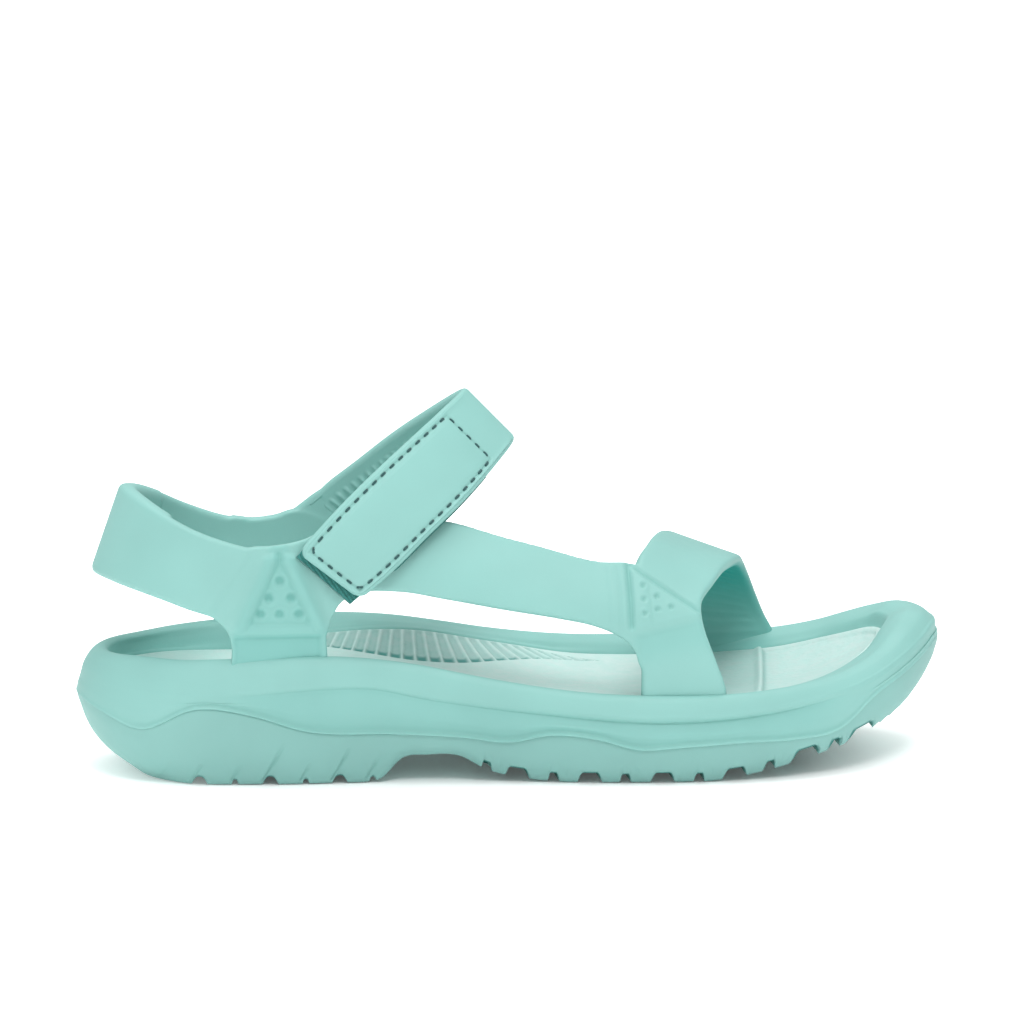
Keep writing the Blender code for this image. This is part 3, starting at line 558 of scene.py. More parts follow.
def make_outsole(ring, finish):
    """The tread: its grooved underside, the wall up to the parting line and a hidden top."""
    bevel = ring.along(BEVEL)
    parting = ring.height(PARTING_OUTER, PARTING_INNER)
    walls = []
    for rise in np.linspace(0, 1, WALL_ROWS) ** 1.25:
        x = ring.plan[:, 0] + ring.inward[:, 0] * bevel * (1 - rise) ** 1.4
        ground = ground_line(x)
        foot = tread_foot(x)
        z = foot + (parting - foot) * rise
        share = (z - ground) / (parting - ground)
        inset = bevel * table(WALL_INSET, share)
        inset = inset + 0.6 * np.exp(-(z - foot) / 0.45)
        level = ring.level(inset, z)
        level[:, :2] += ring.inward * (heel_facets(level) + notch_creases(level, ground))[:, None]
        walls.append(level)
    shares = np.linspace(1, 0.02, TREAD_ROWS)
    base = [ring.towards_middle(walls[0], share, tread_foot) for share in shares]
    rows = np.array([*base, *walls, ring.level(1.2, parting + 0.1), *shoulder(ring, 0)])
    faces = loft_faces(len(rows), RING_POINTS)
    points = rows.reshape(-1, 3)
    # Painted shade: the underside is darkened inside the deeper grooves.
    deep = step(tread_foot(points[:, 0]) - ground_line(points[:, 0]), 0.5, 2.0)
    deep *= 1 - step(points[:, 2] - tread_foot(points[:, 0]), 0.1, 0.6)
    return piece("tread_and_outsole", points, faces, finish, "sandal", ["outsole"],
                 painted_shade=deep)


def footbed_height(x, share):
    """The footbed's plain surface, dished from its edge to the middle line."""
    centre = table(FOOTBED, x)
    edge = centre + FOOTBED_EDGE_RISE
    return edge + (centre - edge) * np.sin(share * np.pi / 2)


def footbed_level(ring, inset, share):
    """A ring on the footbed's surface, share of the way in from its edge."""
    edge = ring.level(inset, 0)
    level = ring.towards_middle(edge, share, footbed_height)
    side = ring.inner_share * (1 - share)
    level[:, 2] += table(ARCH_RISE, level[:, 0]) * side
    return level


def midsole_profile(ring):
    """(inset, height) of each corner of the midsole's section, all the way round."""
    lean = ring.along(LEAN)
    fade = ring.along(CREASE_FADE)
    bead = ring.along(BEAD_FADE)
    parting = ring.height(PARTING_OUTER, PARTING_INNER)
    crease = ring.height(CREASE_OUTER, CREASE_INNER)
    rim = ring.height(RIM_OUTER, RIM_INNER)
    cup = ring.along(CUP_DEPTH)
    border = ring.along(TOE_BORDER)
    top = ring.even(footbed_level(ring, FOOTBED_INSET + border, 0)[:, 2], 1.5)
    lip = np.maximum(top + 0.8, rim - cup * 0.8)
    roll = rim - crease
    tilt = ring.along(TILT)
    reach = tilt * (rim - parting)
    outer = [
        (1.3, parting - 0.1), (0.4, parting - 0.35), (0.05 - 0.2 * bead, parting - 0.25),
        (0.05 - 0.34 * bead, parting), (0.08 - 0.2 * bead, parting + 0.25), (0.12, parting + 0.5),
        (0.3 + 0.15 * fade, parting + 0.45 * (crease - parting)),
        (0.6 + 0.45 * fade, crease - 1.9), (0.75 + 0.7 * fade, crease - 0.6),
        (0.8 + 0.8 * fade, crease - 0.15), (0.82 + 0.66 * fade, crease + 0.15),
        (0.86 + 0.25 * fade, crease + 0.5), (0.95, crease + 1.1),
        (1.5 * lean, crease + 0.4 * roll), (2.4 * lean, crease + 0.64 * roll),
        (3.4 * lean, crease + 0.83 * roll), (4.9 * lean, rim - 0.28), (6.5 * lean, rim),
        (8.4 * lean, rim - 0.7),
    ]
    return [(inset + tilt * (z - parting), z) for inset, z in outer] + [
        (10.6 + 0.9 * border + 0.25 * reach, (lip + rim) / 2 - 0.4),
        (11.9 + border + 0.1 * reach, lip),
        (12.8 + border, top + 0.3), (FOOTBED_INSET + border, top - 0.8),
        (FOOTBED_INSET + border, top - 3),
    ]


def make_midsole(ring, finish):
    """The shell above the tread, from its hidden underside over the rim and down to the footbed."""
    corners = midsole_profile(ring)
    levels = np.array([ring.level(inset, z) for inset, z in corners])
    gaps = np.linalg.norm(np.diff(levels, axis=0), axis=2).mean(axis=1)
    knots = np.concatenate([[0], np.cumsum(gaps)])
    places = [knots[0]]
    for k, gap in enumerate(gaps):
        at_a_line = k < 5 or 7 <= k <= 12  # the parting line's corners, and the crease's
        count = max(2, int(round(gap / (FINE_ROWS if at_a_line else PLAIN_ROWS))))
        places += list(np.linspace(knots[k], knots[k + 1], count + 1)[1:])
    rows = smooth(knots, levels, np.array(places))
    floor = footbed_level(ring, FOOTBED_INSET + ring.along(TOE_BORDER), 0)
    closing = [
        ring.towards_middle(floor, share, lambda x, s: footbed_height(x, s) - FOOTBED_DEPTH)
        for share in (0, 1)
    ]
    below = shoulder(ring, GAP)[::-1]
    rows = np.concatenate([below, rows, closing])
    faces = loft_faces(len(rows), RING_POINTS)
    points = rows.reshape(-1, 3)
    corner = np.interp(places, knots, np.arange(len(knots)))
    corner = np.concatenate([np.zeros(len(below)), corner, np.full(len(closing), len(knots))])
    # Painted shade: the inner rim under the toe strap and inside the heel, and the wall just below
    # the crease, are darkened.
    inside = step(corner, 18, 20)[:, None] * ring.inner_share[None, :]
    x = rows[:, :, 0]
    tone = 0.28 * inside * step(x, 50, 66) * (1 - step(x, 86, 98))
    tone = tone + 0.15 * inside * (1 - step(x, -100, -70))
    below_crease = (step(corner, 4, 6) * (1 - step(corner, 8.5, 10.5)))[:, None]
    tone = tone + 0.09 * below_crease * step(x, -100, -80) * (1 - step(x, 90, 110))
    return piece("midsole_shell", points, faces, finish, "sandal", ["midsole"],
                 painted_shade=tone.reshape(-1))


def toe_step(x, y):
    """Distance past the curved step where the toe panel starts."""
    return x - (83.8 + 0.162 * y - 0.0003 * y * y)


def leaf_place(x, share, inner):
    """Where a point lies between the leaf's top and foot, and whether it is on the leaf."""
    top, foot = table(LEAF_TOP, x), table(LEAF_FOOT, x)
    place = (share - top) / np.maximum(foot - top, 0.02)
    within = inner * (x > LEAF_ENDS[0]) * (x < LEAF_ENDS[1]) * (place >= 0) * (place <= 1)
    return np.clip(place, 0, 1), within


def leaf_ribs(x, inward):
    """1 on the leaf's fanned ribs and 0 between them."""
    tops = np.linspace(-75, 45, 600)
    feet = tops + table(LEAF_FAN, tops) * inward
    turn = np.interp(x, feet, tops) / LEAF_PITCH
    return hump((turn - np.round(turn)) * LEAF_PITCH, 0.55)


def footbed_relief(x, y, share, inner):
    """Height of the footbed's moulded pattern above its plain surface, and its painted shade."""
    past = toe_step(x, y)
    relief = 0.75 * hump(past + 0.9, 1.2) - 1.25 * step(past, -0.2, 0.8)
    place, within = leaf_place(x, share, inner)
    rib = leaf_ribs(x, 20 * share)
    sides = step(place, 0, 0.08) * (1 - step(place, 0.96, 1))
    dip = (0.4 + 0.4 * place) * within * sides
    # Painted shade: in the leaf's cells and most at their lower ends, just past the toe step, under
    # the toe strap and at the heel; the toe panel is also a little darker.
    tone = within * (1 - rib) * (0.4 + 0.6 * step(place, 0.74, 0.84))
    tone += 0.3 * hump(past - 0.6, 0.8) + 0.3 * step(x, 46, 60) * (1 - step(past, -1.5, 0))
    edge = hump(share - 0.03, 0.03) * step(x, 104, 118)
    tone += 0.14 * step(past, -0.2, 0.8) + 0.26 * (1 - step(x, -104, -84))
    return relief - dip * (1 - rib) + 0.25 * within * sides * rib + 0.7 * edge, np.minimum(tone, 1)


def make_footbed(ring, finish):
    """The moulded surface under the foot, with its ribbed leaf and its toe panel."""
    levels = []
    edge = FOOTBED_INSET + ring.along(TOE_BORDER)
    for inset, drop in ((0, 4), (0, 1.0), (0.25, 0.45), (0.7, 0.1)):
        level = footbed_level(ring, edge + inset, 0)
        level[:, 2] -= drop
        levels.append(level)
    inner = (ring.plan[:, 1] > ring.middle[:, 1]).astype(float)
    # Painted shade: the rows that drop at the footbed's edge are half shaded.
    tones = [np.full(RING_POINTS, 0.5)] * 2 + [np.zeros(RING_POINTS)] * 2
    for share in np.linspace(0, 1, BED_ROWS) ** 0.95:
        level = footbed_level(ring, edge + 1.4, share)
        relief, tone = footbed_relief(level[:, 0], level[:, 1], share, inner)
        level[:, 2] += relief
        levels.append(level)
        tones.append(tone)
    rows = np.array(levels)
    faces = loft_faces(len(rows), RING_POINTS)
    return piece("footbed_surface", rows.reshape(-1, 3), faces, finish, "sandal",
                 ["footbed"], painted_shade=np.concatenate(tones))


# ---- straps -------------------------------------------------------------------------------------
class Strap:
    """A band between two edge curves. Places on it are shares along and across, and a depth."""

    def __init__(self, edge_a, edge_b):
        self.edges = [np.asarray(edge, float) for edge in (edge_a, edge_b)]
        middle = (self.edges[0] + self.edges[1]) / 2
        along = lengths_along(middle)
        self.length = along[-1]
        self.knots = along / self.length

    def width(self, along):
        a, b = (smooth(self.knots, edge, along) for edge in self.edges)
        return np.linalg.norm(b - a, axis=-1)

    def point(self, along, across, depth=0.0):
        """Points at these shares, depth millimetres in from the outer face."""
        along, across = np.broadcast_arrays(np.asarray(along, float), np.asarray(across, float))
        a, b = (smooth(self.knots, edge, along) for edge in self.edges)
        near = 4e-3
        ahead, behind = np.clip(along + near, 0, 1), np.clip(along - near, 0, 1)
        share = across[..., None]
        run = [
            smooth(self.knots, edge, ahead) - smooth(self.knots, edge, behind)
            for edge in self.edges
        ]
        normal = unit(np.cross(b - a, run[0] * (1 - share) + run[1] * share))
        return a + (b - a) * share - normal * np.broadcast_to(depth, along.shape)[..., None]


def section(width, thickness, radius, columns):
    """A rounded box's outline for each station: distances across, depths, and the face.

    The face is 1 on the outside, 2 on the inside and 0 at the rounded edges.
    """
    arc = np.linspace(0, np.pi / 2, 5)
    flat = np.linspace(0, 1, columns)[None, :]
    w, t, r = width[:, None], thickness[:, None], np.minimum(radius, thickness / 2)[:, None]
    top_left = (r - r * np.cos(arc), r - r * np.sin(arc))
    top = (r + (w - 2 * r) * flat, 0 * flat * w)
    top_right = (w - r + r * np.sin(arc), r - r * np.cos(arc))
    low_right = (w - r + r * np.cos(arc), t - r + r * np.sin(arc))
    low = (w - r - (w - 2 * r) * flat, t + 0 * flat * w)
    low_left = (r - r * np.sin(arc), t - r + r * np.cos(arc))
    parts = (top_left, top, top_right, low_right, low, low_left)
    across, depth = (np.concatenate([part[k] for part in parts], axis=1) for k in (0, 1))
    return across, depth, np.repeat((0, 1, 0, 0, 2, 0), (5, columns, 5, 5, columns, 5))


def band(strap, span, thickness, sink=0.0, radius=1.6, pitch=1.0, columns=34, slant=0.0,
         tip_radius=0.0, relief=None, spread=None):
    """A solid length of a strap with rounded edges, as points and faces in drawn millimetres.

    thickness may be a function of the share along. relief takes the distance along, the distance
    across, the width and the face, and gives how far the surface stands out.
    """
    (start, end), (left, right) = span
    stations = np.linspace(start, end, max(3, int(strap.length * (end - start) / pitch)))
    squeeze = np.zeros_like(stations)
    if tip_radius:
        turn = np.linspace(0, np.pi / 2, 14)
        reach = tip_radius / strap.length
        stations = stations[stations < end - reach]
        stations = np.concatenate([stations, end - reach + reach * np.sin(turn)])
        off = np.clip((stations - end) / reach + 1, 0, 1)
        squeeze = tip_radius * (1 - np.sqrt(np.clip(1 - off**2, 0, 1)))
    width = strap.width(stations) * (right - left)
    thick = thickness(stations) if callable(thickness) else np.full(len(stations), thickness)
    across, depth, face = section(width, thick, np.full(len(stations), radius), columns)
    if relief:
        along = (stations * strap.length)[:, None]
        out = relief(along, across, width[:, None], face[None, :])
        depth = depth - np.where(face == 2, -out, out)
    if tip_radius:
        across = squeeze[:, None] + across * (1 - 2 * squeeze / width)[:, None]
        close = np.clip((stations - end) * strap.length / (0.5 * thick) + 1, 0, 1)
        flatten = np.maximum(np.sqrt(np.clip(1 - close**2, 0, 1)), 0.12)
        half = thick[:, None] / 2
        depth = half + (depth - half) * flatten[:, None]
    share = left + across / width[:, None] * (right - left)
    if spread:
        share = 0.5 + (share - 0.5) * spread(stations)[:, None]
    places = stations[:, None] + slant * share * ((stations - start) / (end - start))[:, None]
    points = strap.point(places, share, sink + depth)
    rows, count = share.shape
    faces = [tuple(quad) for quad in loft_faces(rows, count)]
    for base, order in ((0, 1), ((rows - 1) * count, -1)):
        faces += [
            tuple(base + i for i in (c, c + 1, count - 2 - c, count - 1 - c)[::order])
            for c in range(count // 2 - 1)
        ]
    return points.reshape(-1, 3), faces


def skin(rows, x, z):
    """Y of a quarter's outer face at X and Z."""
    levels = np.asarray(SKIN_LEVELS, float)
    by_level = np.stack([smooth(SKIN_STATIONS, row, x) for row in rows])
    i, span, t = bracket(levels, z)
    pick = np.arange(len(i))
    slopes = np.gradient(by_level, levels, axis=0)
    return hermite(by_level, slopes, (i, pick), (i + 1, pick), span, t)


def wrap(rows, x, depth, z):
    """Carries flat points to the quarter's skin, depth millimetres in from its outer face."""
    side = np.sign(rows[0][0])
    near = 0.5
    dx = (skin(rows, x + near, z) - skin(rows, x - near, z)) / (2 * near)
    dz = (skin(rows, x, z + near) - skin(rows, x, z - near)) / (2 * near)
    outward = unit(np.column_stack([-dx, np.ones_like(dx), -dz]) * side)
    return np.column_stack([x, skin(rows, x, z), z]) - outward * depth[:, None]


def plate(outline, rows, thickness):
    """A flat outline in X and Z, cut from a fine slab and bent to the quarter's skin."""
    outline = resample(outline, 260, closed=True)
    curve = bpy.data.curves.new("outline", "CURVE")
    curve.dimensions = "2D"
    curve.fill_mode = "BOTH"
    curve.extrude = thickness
    line = curve.splines.new("POLY")
    line.points.add(len(outline) - 1)
    for spot, (x, z) in zip(line.points, outline):
        spot.co = (x, z, 0, 1)
    line.use_cyclic_u = True
    cutter = result_of(place_in_scene("outline", curve))
    tidy_mesh(cutter, 1e-4)
    low, high = outline.min(axis=0) - PLATE_CELL, outline.max(axis=0) + PLATE_CELL
    counts = np.round((high - low) / PLATE_CELL).astype(int)
    shape = bmesh.new()
    xs, zs = (np.linspace(low[k], high[k], counts[k] + 1) for k in range(2))
    corners = [[shape.verts.new((x, z, -thickness / 2)) for z in zs] for x in xs]
    for i in range(counts[0]):
        for j in range(counts[1]):
            shape.faces.new(
                (corners[i][j], corners[i + 1][j], corners[i + 1][j + 1], corners[i][j + 1])
            )
    made = bmesh.ops.extrude_face_region(shape, geom=shape.faces[:])
    moved = [g for g in made["geom"] if isinstance(g, bmesh.types.BMVert)]
    bmesh.ops.translate(shape, verts=moved, vec=(0, 0, thickness))
    bmesh.ops.recalc_face_normals(shape, faces=shape.faces)
    mesh = bpy.data.meshes.new("slab")
    shape.to_mesh(mesh)
    shape.free()
    tool, slab = place_in_scene("tool", cutter), place_in_scene("slab", mesh)
    cut = slab.modifiers.new("cut", "BOOLEAN")
    cut.operation = "INTERSECT"
    cut.object = tool
    result = result_of(slab, tool)
    points = np.array([vert.co for vert in result.vertices])
    faces = [tuple(face.vertices) for face in result.polygons]
    depth = points[:, 2] + thickness / 2
    return wrap(rows, points[:, 0], depth, points[:, 1]), faces


def fuse(solids, voxel):
    """One even mesh round all the solids."""
    mesh = raw_mesh("solids", *together(solids))
    tidy_mesh(mesh, 1e-5)
    obj = place_in_scene("solids", mesh)
    remesh = obj.modifiers.new("remesh", "REMESH")
    remesh.mode = "VOXEL"
    remesh.voxel_size = voxel
    remesh.adaptivity = 0
    result = result_of(obj)
    points = np.empty(len(result.vertices) * 3)
    result.vertices.foreach_get("co", points)
    quads = np.empty(len(result.loops), int)
    result.loops.foreach_get("vertex_index", quads)
    return points.reshape(-1, 3), quads.reshape(-1, 4)


def relax(points, quads, rounds, share=0.5):
    """Evens a mesh out, which rounds its edges and fillets its inner corners."""
    links = np.concatenate([quads[:, [k, (k + 1) % 4]] for k in range(4)])
    a, b = links.T
    count = len(points)
    degree = np.maximum(np.bincount(a, minlength=count) + np.bincount(b, minlength=count), 1)
    for _ in range(rounds):
        sums = [
            np.bincount(a, points[b, k], count) + np.bincount(b, points[a, k], count)
            for k in range(3)
        ]
        points = points + share * (np.stack(sums, axis=1) / degree[:, None] - points)
    return points


def normals_of(points, quads):
    """Each point's normal, from the faces round it."""
    diagonals = points[quads[:, 2]] - points[quads[:, 0]], points[quads[:, 3]] - points[quads[:, 1]]
    face = np.cross(*diagonals)
    total = np.zeros_like(points)
    for k in range(3):
        for corner in range(4):
            total[:, k] += np.bincount(quads[:, corner], face[:, k], len(points))
    return unit(total + 1e-12)


# ---- upper --------------------------------------------------------------------------------------
def dimple(places, spots, radius, depth):
    """Round hollows at spots, with a faint raised lip."""
    relief = np.zeros(len(places))
    for spot in spots:
        distance = np.linalg.norm(places - spot, axis=1)
        relief -= depth * np.exp(-((distance / radius) ** 3))
        relief += 0.15 * depth * hump(distance - 1.6 * radius, 0.5 * radius)
    return relief


def within_rear_bars(places):
    """Distance inside the two bars of a rear post's triangle, below 0 outside them."""
    left, right = (side_of(places, bar[::-1]) for bar in (REAR_LEFT_BAR, REAR_RIGHT_BAR))
    return np.minimum(-left, right)


def rear_post_relief(places):
    """The raised triangle with dimples on a rear post, and the bar at its base."""
    x, z = places.T
    left, right = to_line(places, REAR_LEFT_BAR), to_line(places, REAR_RIGHT_BAR)
    relief = 1.7 * np.maximum(hump(left, 2.7), hump(right, 2.7)) * (1 - step(z, 72.5, 75.5))
    relief -= 0.5 * step(within_rear_bars(places), 1.5, 3) * step(z, 51.6, 53)
    base = to_line(places, REAR_BASE_BAR)
    relief = np.maximum(relief, 0.8 * np.exp(-((base / 1.9) ** 4)))
    ends = np.minimum(*(np.linalg.norm(places - end, axis=1) for end in REAR_BASE_BAR))
    relief = np.maximum(relief, 1.0 * hump(ends, 1.5))
    below = (1 - step(z, 47, 48.6)) * step(x, -92.8, -90.4) * (1 - step(x, -65, -62.6))
    relief = relief - 0.8 * below
    relief += dimple(places, REAR_DIMPLES, 1.25, 1.0)
    return relief + dimple(places, [REAR_APEX_DIMPLE], 1.4, 0.6)


def toe_post_relief(places):
    """The dimpled triangle where the side strap meets the toe strap, and the ridges before it."""
    x, z = places.T
    tall = step(z, 48.5, 51) * (1 - step(z, 68.5, 70.5))
    relief = -0.75 * hump(x - 34.5, 0.75) * tall
    relief += 0.55 * hump(x - 32.3, 1.3) * tall + 0.3 * hump(x - 28.9, 1.2) * tall
    top, foot = side_of(places, TOE_PANEL_TOP), side_of(places, TOE_PANEL_FOOT)
    along = step(x, 34, 36.5) * (1 - step(x, 55.5, 58.5))
    relief -= 0.55 * hump(top - 0.2, 0.7) * along
    relief += 0.35 * step(-top, 0, 1.2) * step(foot, -1.5, 0.6) * along
    relief -= 0.7 * step(-foot, 0.2, 3.0) * (1 - step(-foot, 6, 15)) * step(x, 33, 38)
    return relief + dimple(places, TOE_DIMPLES, 0.85, 0.6)


def toe_ribs(along, across, width, face):
    """Ribs across the inside of the toe strap."""
    window = step(across, 3, 6) * (1 - step(across, width - 6, width - 3))
    return np.where(face == 2, 0.4 * hump((along / 4.2) % 1 - 0.5, 0.2) * window, 0)


def heel_pad_spread(stations):
    """The pad behind the heel is a little taller than the strap."""
    return 1.0 + 0.03 * step(stations, 0.24, 0.26) * (1 - step(stations, 0.74, 0.76))


def make_upper(closure, finish):
    """Every strap and post that is moulded in one with the sole, as one even mesh."""
    toe = Strap(TOE_STRAP_BACK, TOE_STRAP_FRONT)
    heel = Strap(HEEL_STRAP_LOW, HEEL_STRAP_HIGH)
    hinge = closure.knots[HINGE_STATION]
    under = LEAF_THICKNESS + 2 * PATCH_THICKNESS + 2.7 * GAP
    receiver = [hinge + (1 - hinge) * place for place in RECEIVER_SPAN[0]]
    solids = [
        band(toe, ((0.004, 0.996), (0, 1)), STRAP_THICKNESS, relief=toe_ribs, pitch=0.7),
        band(heel, ((0, 1), (0, 1)), STRAP_THICKNESS),
        band(heel, ((0.25, 0.75), (0.01, 1)), HEEL_PAD_THICKNESS, sink=0.4, radius=2.4,
             tip_radius=2.0, spread=heel_pad_spread),
        plate(QUARTER_OUTER, SKIN_OUTER, STRAP_THICKNESS),
        plate(QUARTER_INNER, SKIN_INNER, STRAP_THICKNESS),
        band(closure, (receiver, RECEIVER_SPAN[1]), STRAP_THICKNESS, sink=under,
             slant=RECEIVER_SLANT * (1 - hinge)),
        band(closure, ((0, 0.15), (0.002, 0.998)), STRAP_THICKNESS - 0.2, sink=0.1,
             spread=lambda along: 1 - 0.06 * step(along, 0.04, 0.12)),
    ]
    points, quads = fuse(solids, VOXEL)
    points = relax(points, quads, RELAX_ROUNDS)
    normals = normals_of(points, quads)
    places = points[:, [0, 2]]
    outer = (points[:, 1] < -20) * step(-normals[:, 1], 0.25, 0.6) * (points[:, 2] > 35)
    inner = (points[:, 1] > 20) * step(normals[:, 1], 0.25, 0.6) * (points[:, 2] > 35)
    rear = (points[:, 0] < -58) * 1.0
    relief = outer * (rear * rear_post_relief(places) + (1 - rear) * toe_post_relief(places))
    low = 1 - step(points[:, 2], 66, 70)
    relief += inner * rear * low * (points[:, 0] > -96) * rear_post_relief(places)
    points = points + normals * relief[:, None]
    points = relax(points, quads, 1, 0.35)
    # Painted shade: the inward faces at the toe strap, the hollows of the relief and the rear
    # post's triangle are darkened.
    to_axis = unit((0, 0, 40) - points * (0, 1, 1))
    facing = step((normals * to_axis).sum(axis=1), 0.1, 0.6)
    height = 0.3 + 0.6 * step(points[:, 2], 34, 58)
    toe_tunnel_shade = facing * step(points[:, 0], 36, 46) * height
    triangle = outer * rear * step(within_rear_bars(places), -3, 0)
    hollows = 0.1 * np.clip(-relief / 0.8, 0, 1) + 0.13 * triangle
    return piece("moulded_straps", points, quads, finish, "sandal",
                 ["toe_strap", "heel_strap", "lateral_quarter", "medial_quarter",
                  "receiving_strap"],
                 merge=False, painted_shade=np.maximum(toe_tunnel_shade, hollows))


# ---- closure ------------------------------------------------------------------------------------
def make_closure_strap(closure, finish):
    """The strap over the instep and its flap, as one piece that thins to the flap's leaf at the
    hinge.
    """
    hinge = closure.knots[HINGE_STATION]
    soft = THINNING / closure.length

    def thickness(along):
        leaf = step(along, hinge - soft, hinge + soft)
        return STRAP_THICKNESS + (LEAF_THICKNESS - STRAP_THICKNESS) * leaf

    def relief(along, across, width, face):
        flap = step(along, (hinge + 0.02) * closure.length, (hinge + 0.05) * closure.length)
        start = (hinge + SEAM_START * (1 - hinge)) * closure.length
        tip = closure.length - along
        edge = np.minimum(np.minimum(across, width - across), tip)
        panel = step(along, start, start + 0.8)
        seam = -0.4 * hump(edge - SEAM_EDGE, 0.45) * panel
        seam += 0.3 * hump(edge - 1.0, 1.1) * flap + 0.2 * step(edge, SEAM_EDGE + 0.3, 5) * panel
        seam -= 0.35 * hump(along - start, 0.45) * step(edge, SEAM_EDGE - 0.5, SEAM_EDGE)
        window = step(across, 3.5, 6) * (1 - step(across, width - 6, width - 3.5)) * (1 - flap)
        ribs = 0.9 * hump((along / 3.1) % 1 - 0.5, 0.22) * step(along, 4, 12) * window
        buried = 0.5 * (1 - step(along, 5.5, 10))
        return np.where(face == 1, seam - buried, np.where(face == 2, ribs - buried, 0))

    points, faces = band(closure, ((0.03, 1), (0, 1)), thickness, pitch=0.35, columns=96,
                         tip_radius=3.4, relief=relief, radius=1.6,
                         spread=lambda along: 1 - 0.07 * (1 - step(along, 0.035, 0.1)))
    obj = piece("closure_strap", points, faces, finish, None,
                ["instep_strap", "closure_flap"])
    pivot = world(closure.point(hinge, 0.5))
    run = unit(world(closure.point(hinge + 0.01, 0.5)) - world(closure.point(hinge - 0.01, 0.5)))
    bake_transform(obj)
    return obj


def tube(route, radius, sides):
    """A closed tube along a short open route, as points and faces."""
    route = np.asarray(route)
    runs = unit(np.gradient(route, axis=0))
    aside = unit(np.cross(runs, (0.31, 0.52, 0.8)))
    up = np.cross(runs, aside)
    turn = np.linspace(0, 2 * np.pi, sides, endpoint=False)
    ring = aside[:, None] * np.cos(turn)[None, :, None] + up[:, None] * np.sin(turn)[None, :, None]
    size = np.full(len(route), radius)
    size[[0, -1]] *= 0.35
    points = route[:, None] + ring * size[:, None, None]
    faces = [tuple(quad) for quad in loft_faces(len(route), sides)]
    last = (len(route) - 1) * sides
    faces += [tuple(range(sides))[::-1], tuple(range(last, last + sides))]
    return points.reshape(-1, 3), faces


def seam_route(strap, span, edge, corner):
    """A closed line of (along, across) places, edge millimetres inside a stretch of the strap."""
    (start, end), _ = span
    length = (end - start) * strap.length
    samples = []
    half = strap.width(np.array([(start + end) / 2]))[0] / 2 - edge
    turn = np.linspace(0, np.pi / 2, 10)
    for cx, cy, base in (
        (length - corner, half - corner, 0), (corner, half - corner, np.pi / 2),
        (corner, corner - half, np.pi), (length - corner, corner - half, 3 * np.pi / 2),
    ):
        for angle in base + turn:
            samples.append((cx + corner * math.cos(angle), cy + corner * math.sin(angle)))
    samples = np.array(samples + samples[:1])
    return samples, lengths_along(samples), half


def stitches(strap, span, edge, corner, depth, lift=1.0):
    """Separate stitches along a closed seam, each dipping into the strap at its ends."""
    samples, lengths, half = seam_route(strap, span, edge, corner)
    count = int(round(lengths[-1] / STITCH_PITCH))
    pitch = lengths[-1] / count
    rest = np.linspace(-0.5, 0.5, 9)
    arch = np.sqrt(np.clip(1 - (2 * rest) ** 4, 0, 1))
    sunk = depth - lift * THREAD_DIAMETER * (0.55 * arch - 0.5)
    made = []
    for k in range(count):
        at = ((k + 0.5) * pitch + rest * STITCH_LENGTH) % lengths[-1]
        u = np.interp(at, lengths, samples[:, 0])
        v = np.interp(at, lengths, samples[:, 1])
        along = span[0][0] + u / strap.length
        width = strap.width(along)
        across = 0.5 + v / (2 * half) * (width - 2 * edge) / width
        made.append(tube(strap.point(along, across, sunk), THREAD_DIAMETER / 2, 8))
    return together(made)


def patch_grid(strap, span, pitch, margin):
    """Places on a patch, in staggered rows."""
    (start, end), (left, right) = span
    rows = int((end - start) * strap.length / pitch)
    width = strap.width(np.array([(start + end) / 2]))[0] * (right - left)
    columns = int(width / pitch)
    places = []
    for i in range(rows):
        for j in range(columns):
            along = start + (i + 0.5) / rows * (end - start)
            across = left + (j + 0.25 + 0.5 * (i % 2)) / columns * (right - left)
            inside = min(i, rows - 1 - i, j, columns - 1 - j) * pitch
            if inside >= margin:
                places.append((along, across))
    return np.array(places)


def make_hook_patch(strap, span, finish):
    """Tape with rows of small hooks, on the inside of the flap."""
    sink = LEAF_THICKNESS + 0.1
    made = [band(strap, span, PATCH_THICKNESS - 0.25, sink=sink, radius=0.25, columns=24,
                 tip_radius=2.0)]
    root = sink + PATCH_THICKNESS - 0.3
    for k, (along, across) in enumerate(patch_grid(strap, span, HOOK_PITCH, 1.6)):
        way = 1 if k % 2 else -1
        route = [
            strap.point(along + way * out / strap.length, across, root + up)
            for out, up in HOOK_SHAPE
        ]
        made.append(tube(route, HOOK_RADIUS, 4))
    points, faces = together(made)
    return piece("hook_tape", points, faces, finish, "flap", ["hook_patch"],
                 merge=False)


def make_loop_patch(strap, span, finish):
    """Tape with a nap of small loops, on the strap under the flap."""
    sink = LEAF_THICKNESS + PATCH_THICKNESS + 0.65
    made = [band(strap, span, PATCH_THICKNESS - 0.1, sink=sink, radius=0.3, columns=24,
                 tip_radius=2.0)]
    chance = np.random.default_rng(7)
    turn = np.linspace(0, np.pi, 6)
    for along, across in patch_grid(strap, span, LOOP_PITCH, 0.8):
        heading = chance.uniform(0, np.pi)
        size = chance.uniform(0.3, 0.55)
        width = strap.width(np.array([along]))[0]
        route = strap.point(
            along + np.cos(turn) * size * math.cos(heading) / strap.length,
            across + np.cos(turn) * size * math.sin(heading) / width,
            sink + 0.08 - np.sin(turn) * chance.uniform(0.25, 0.4),
        )
        made.append(tube(route, LOOP_RADIUS, 3))
    points, faces = together(made)
    return piece("loop_tape", points, faces, finish, "sandal", ["loop_patch"],
                 merge=False)


def lengthened(strap, extra):
    """The strap carried straight on past its end."""
    return Strap(
        *(np.vstack([edge, edge[-1] + extra * unit(edge[-1] - edge[-2])]) for edge in strap.edges)
    )


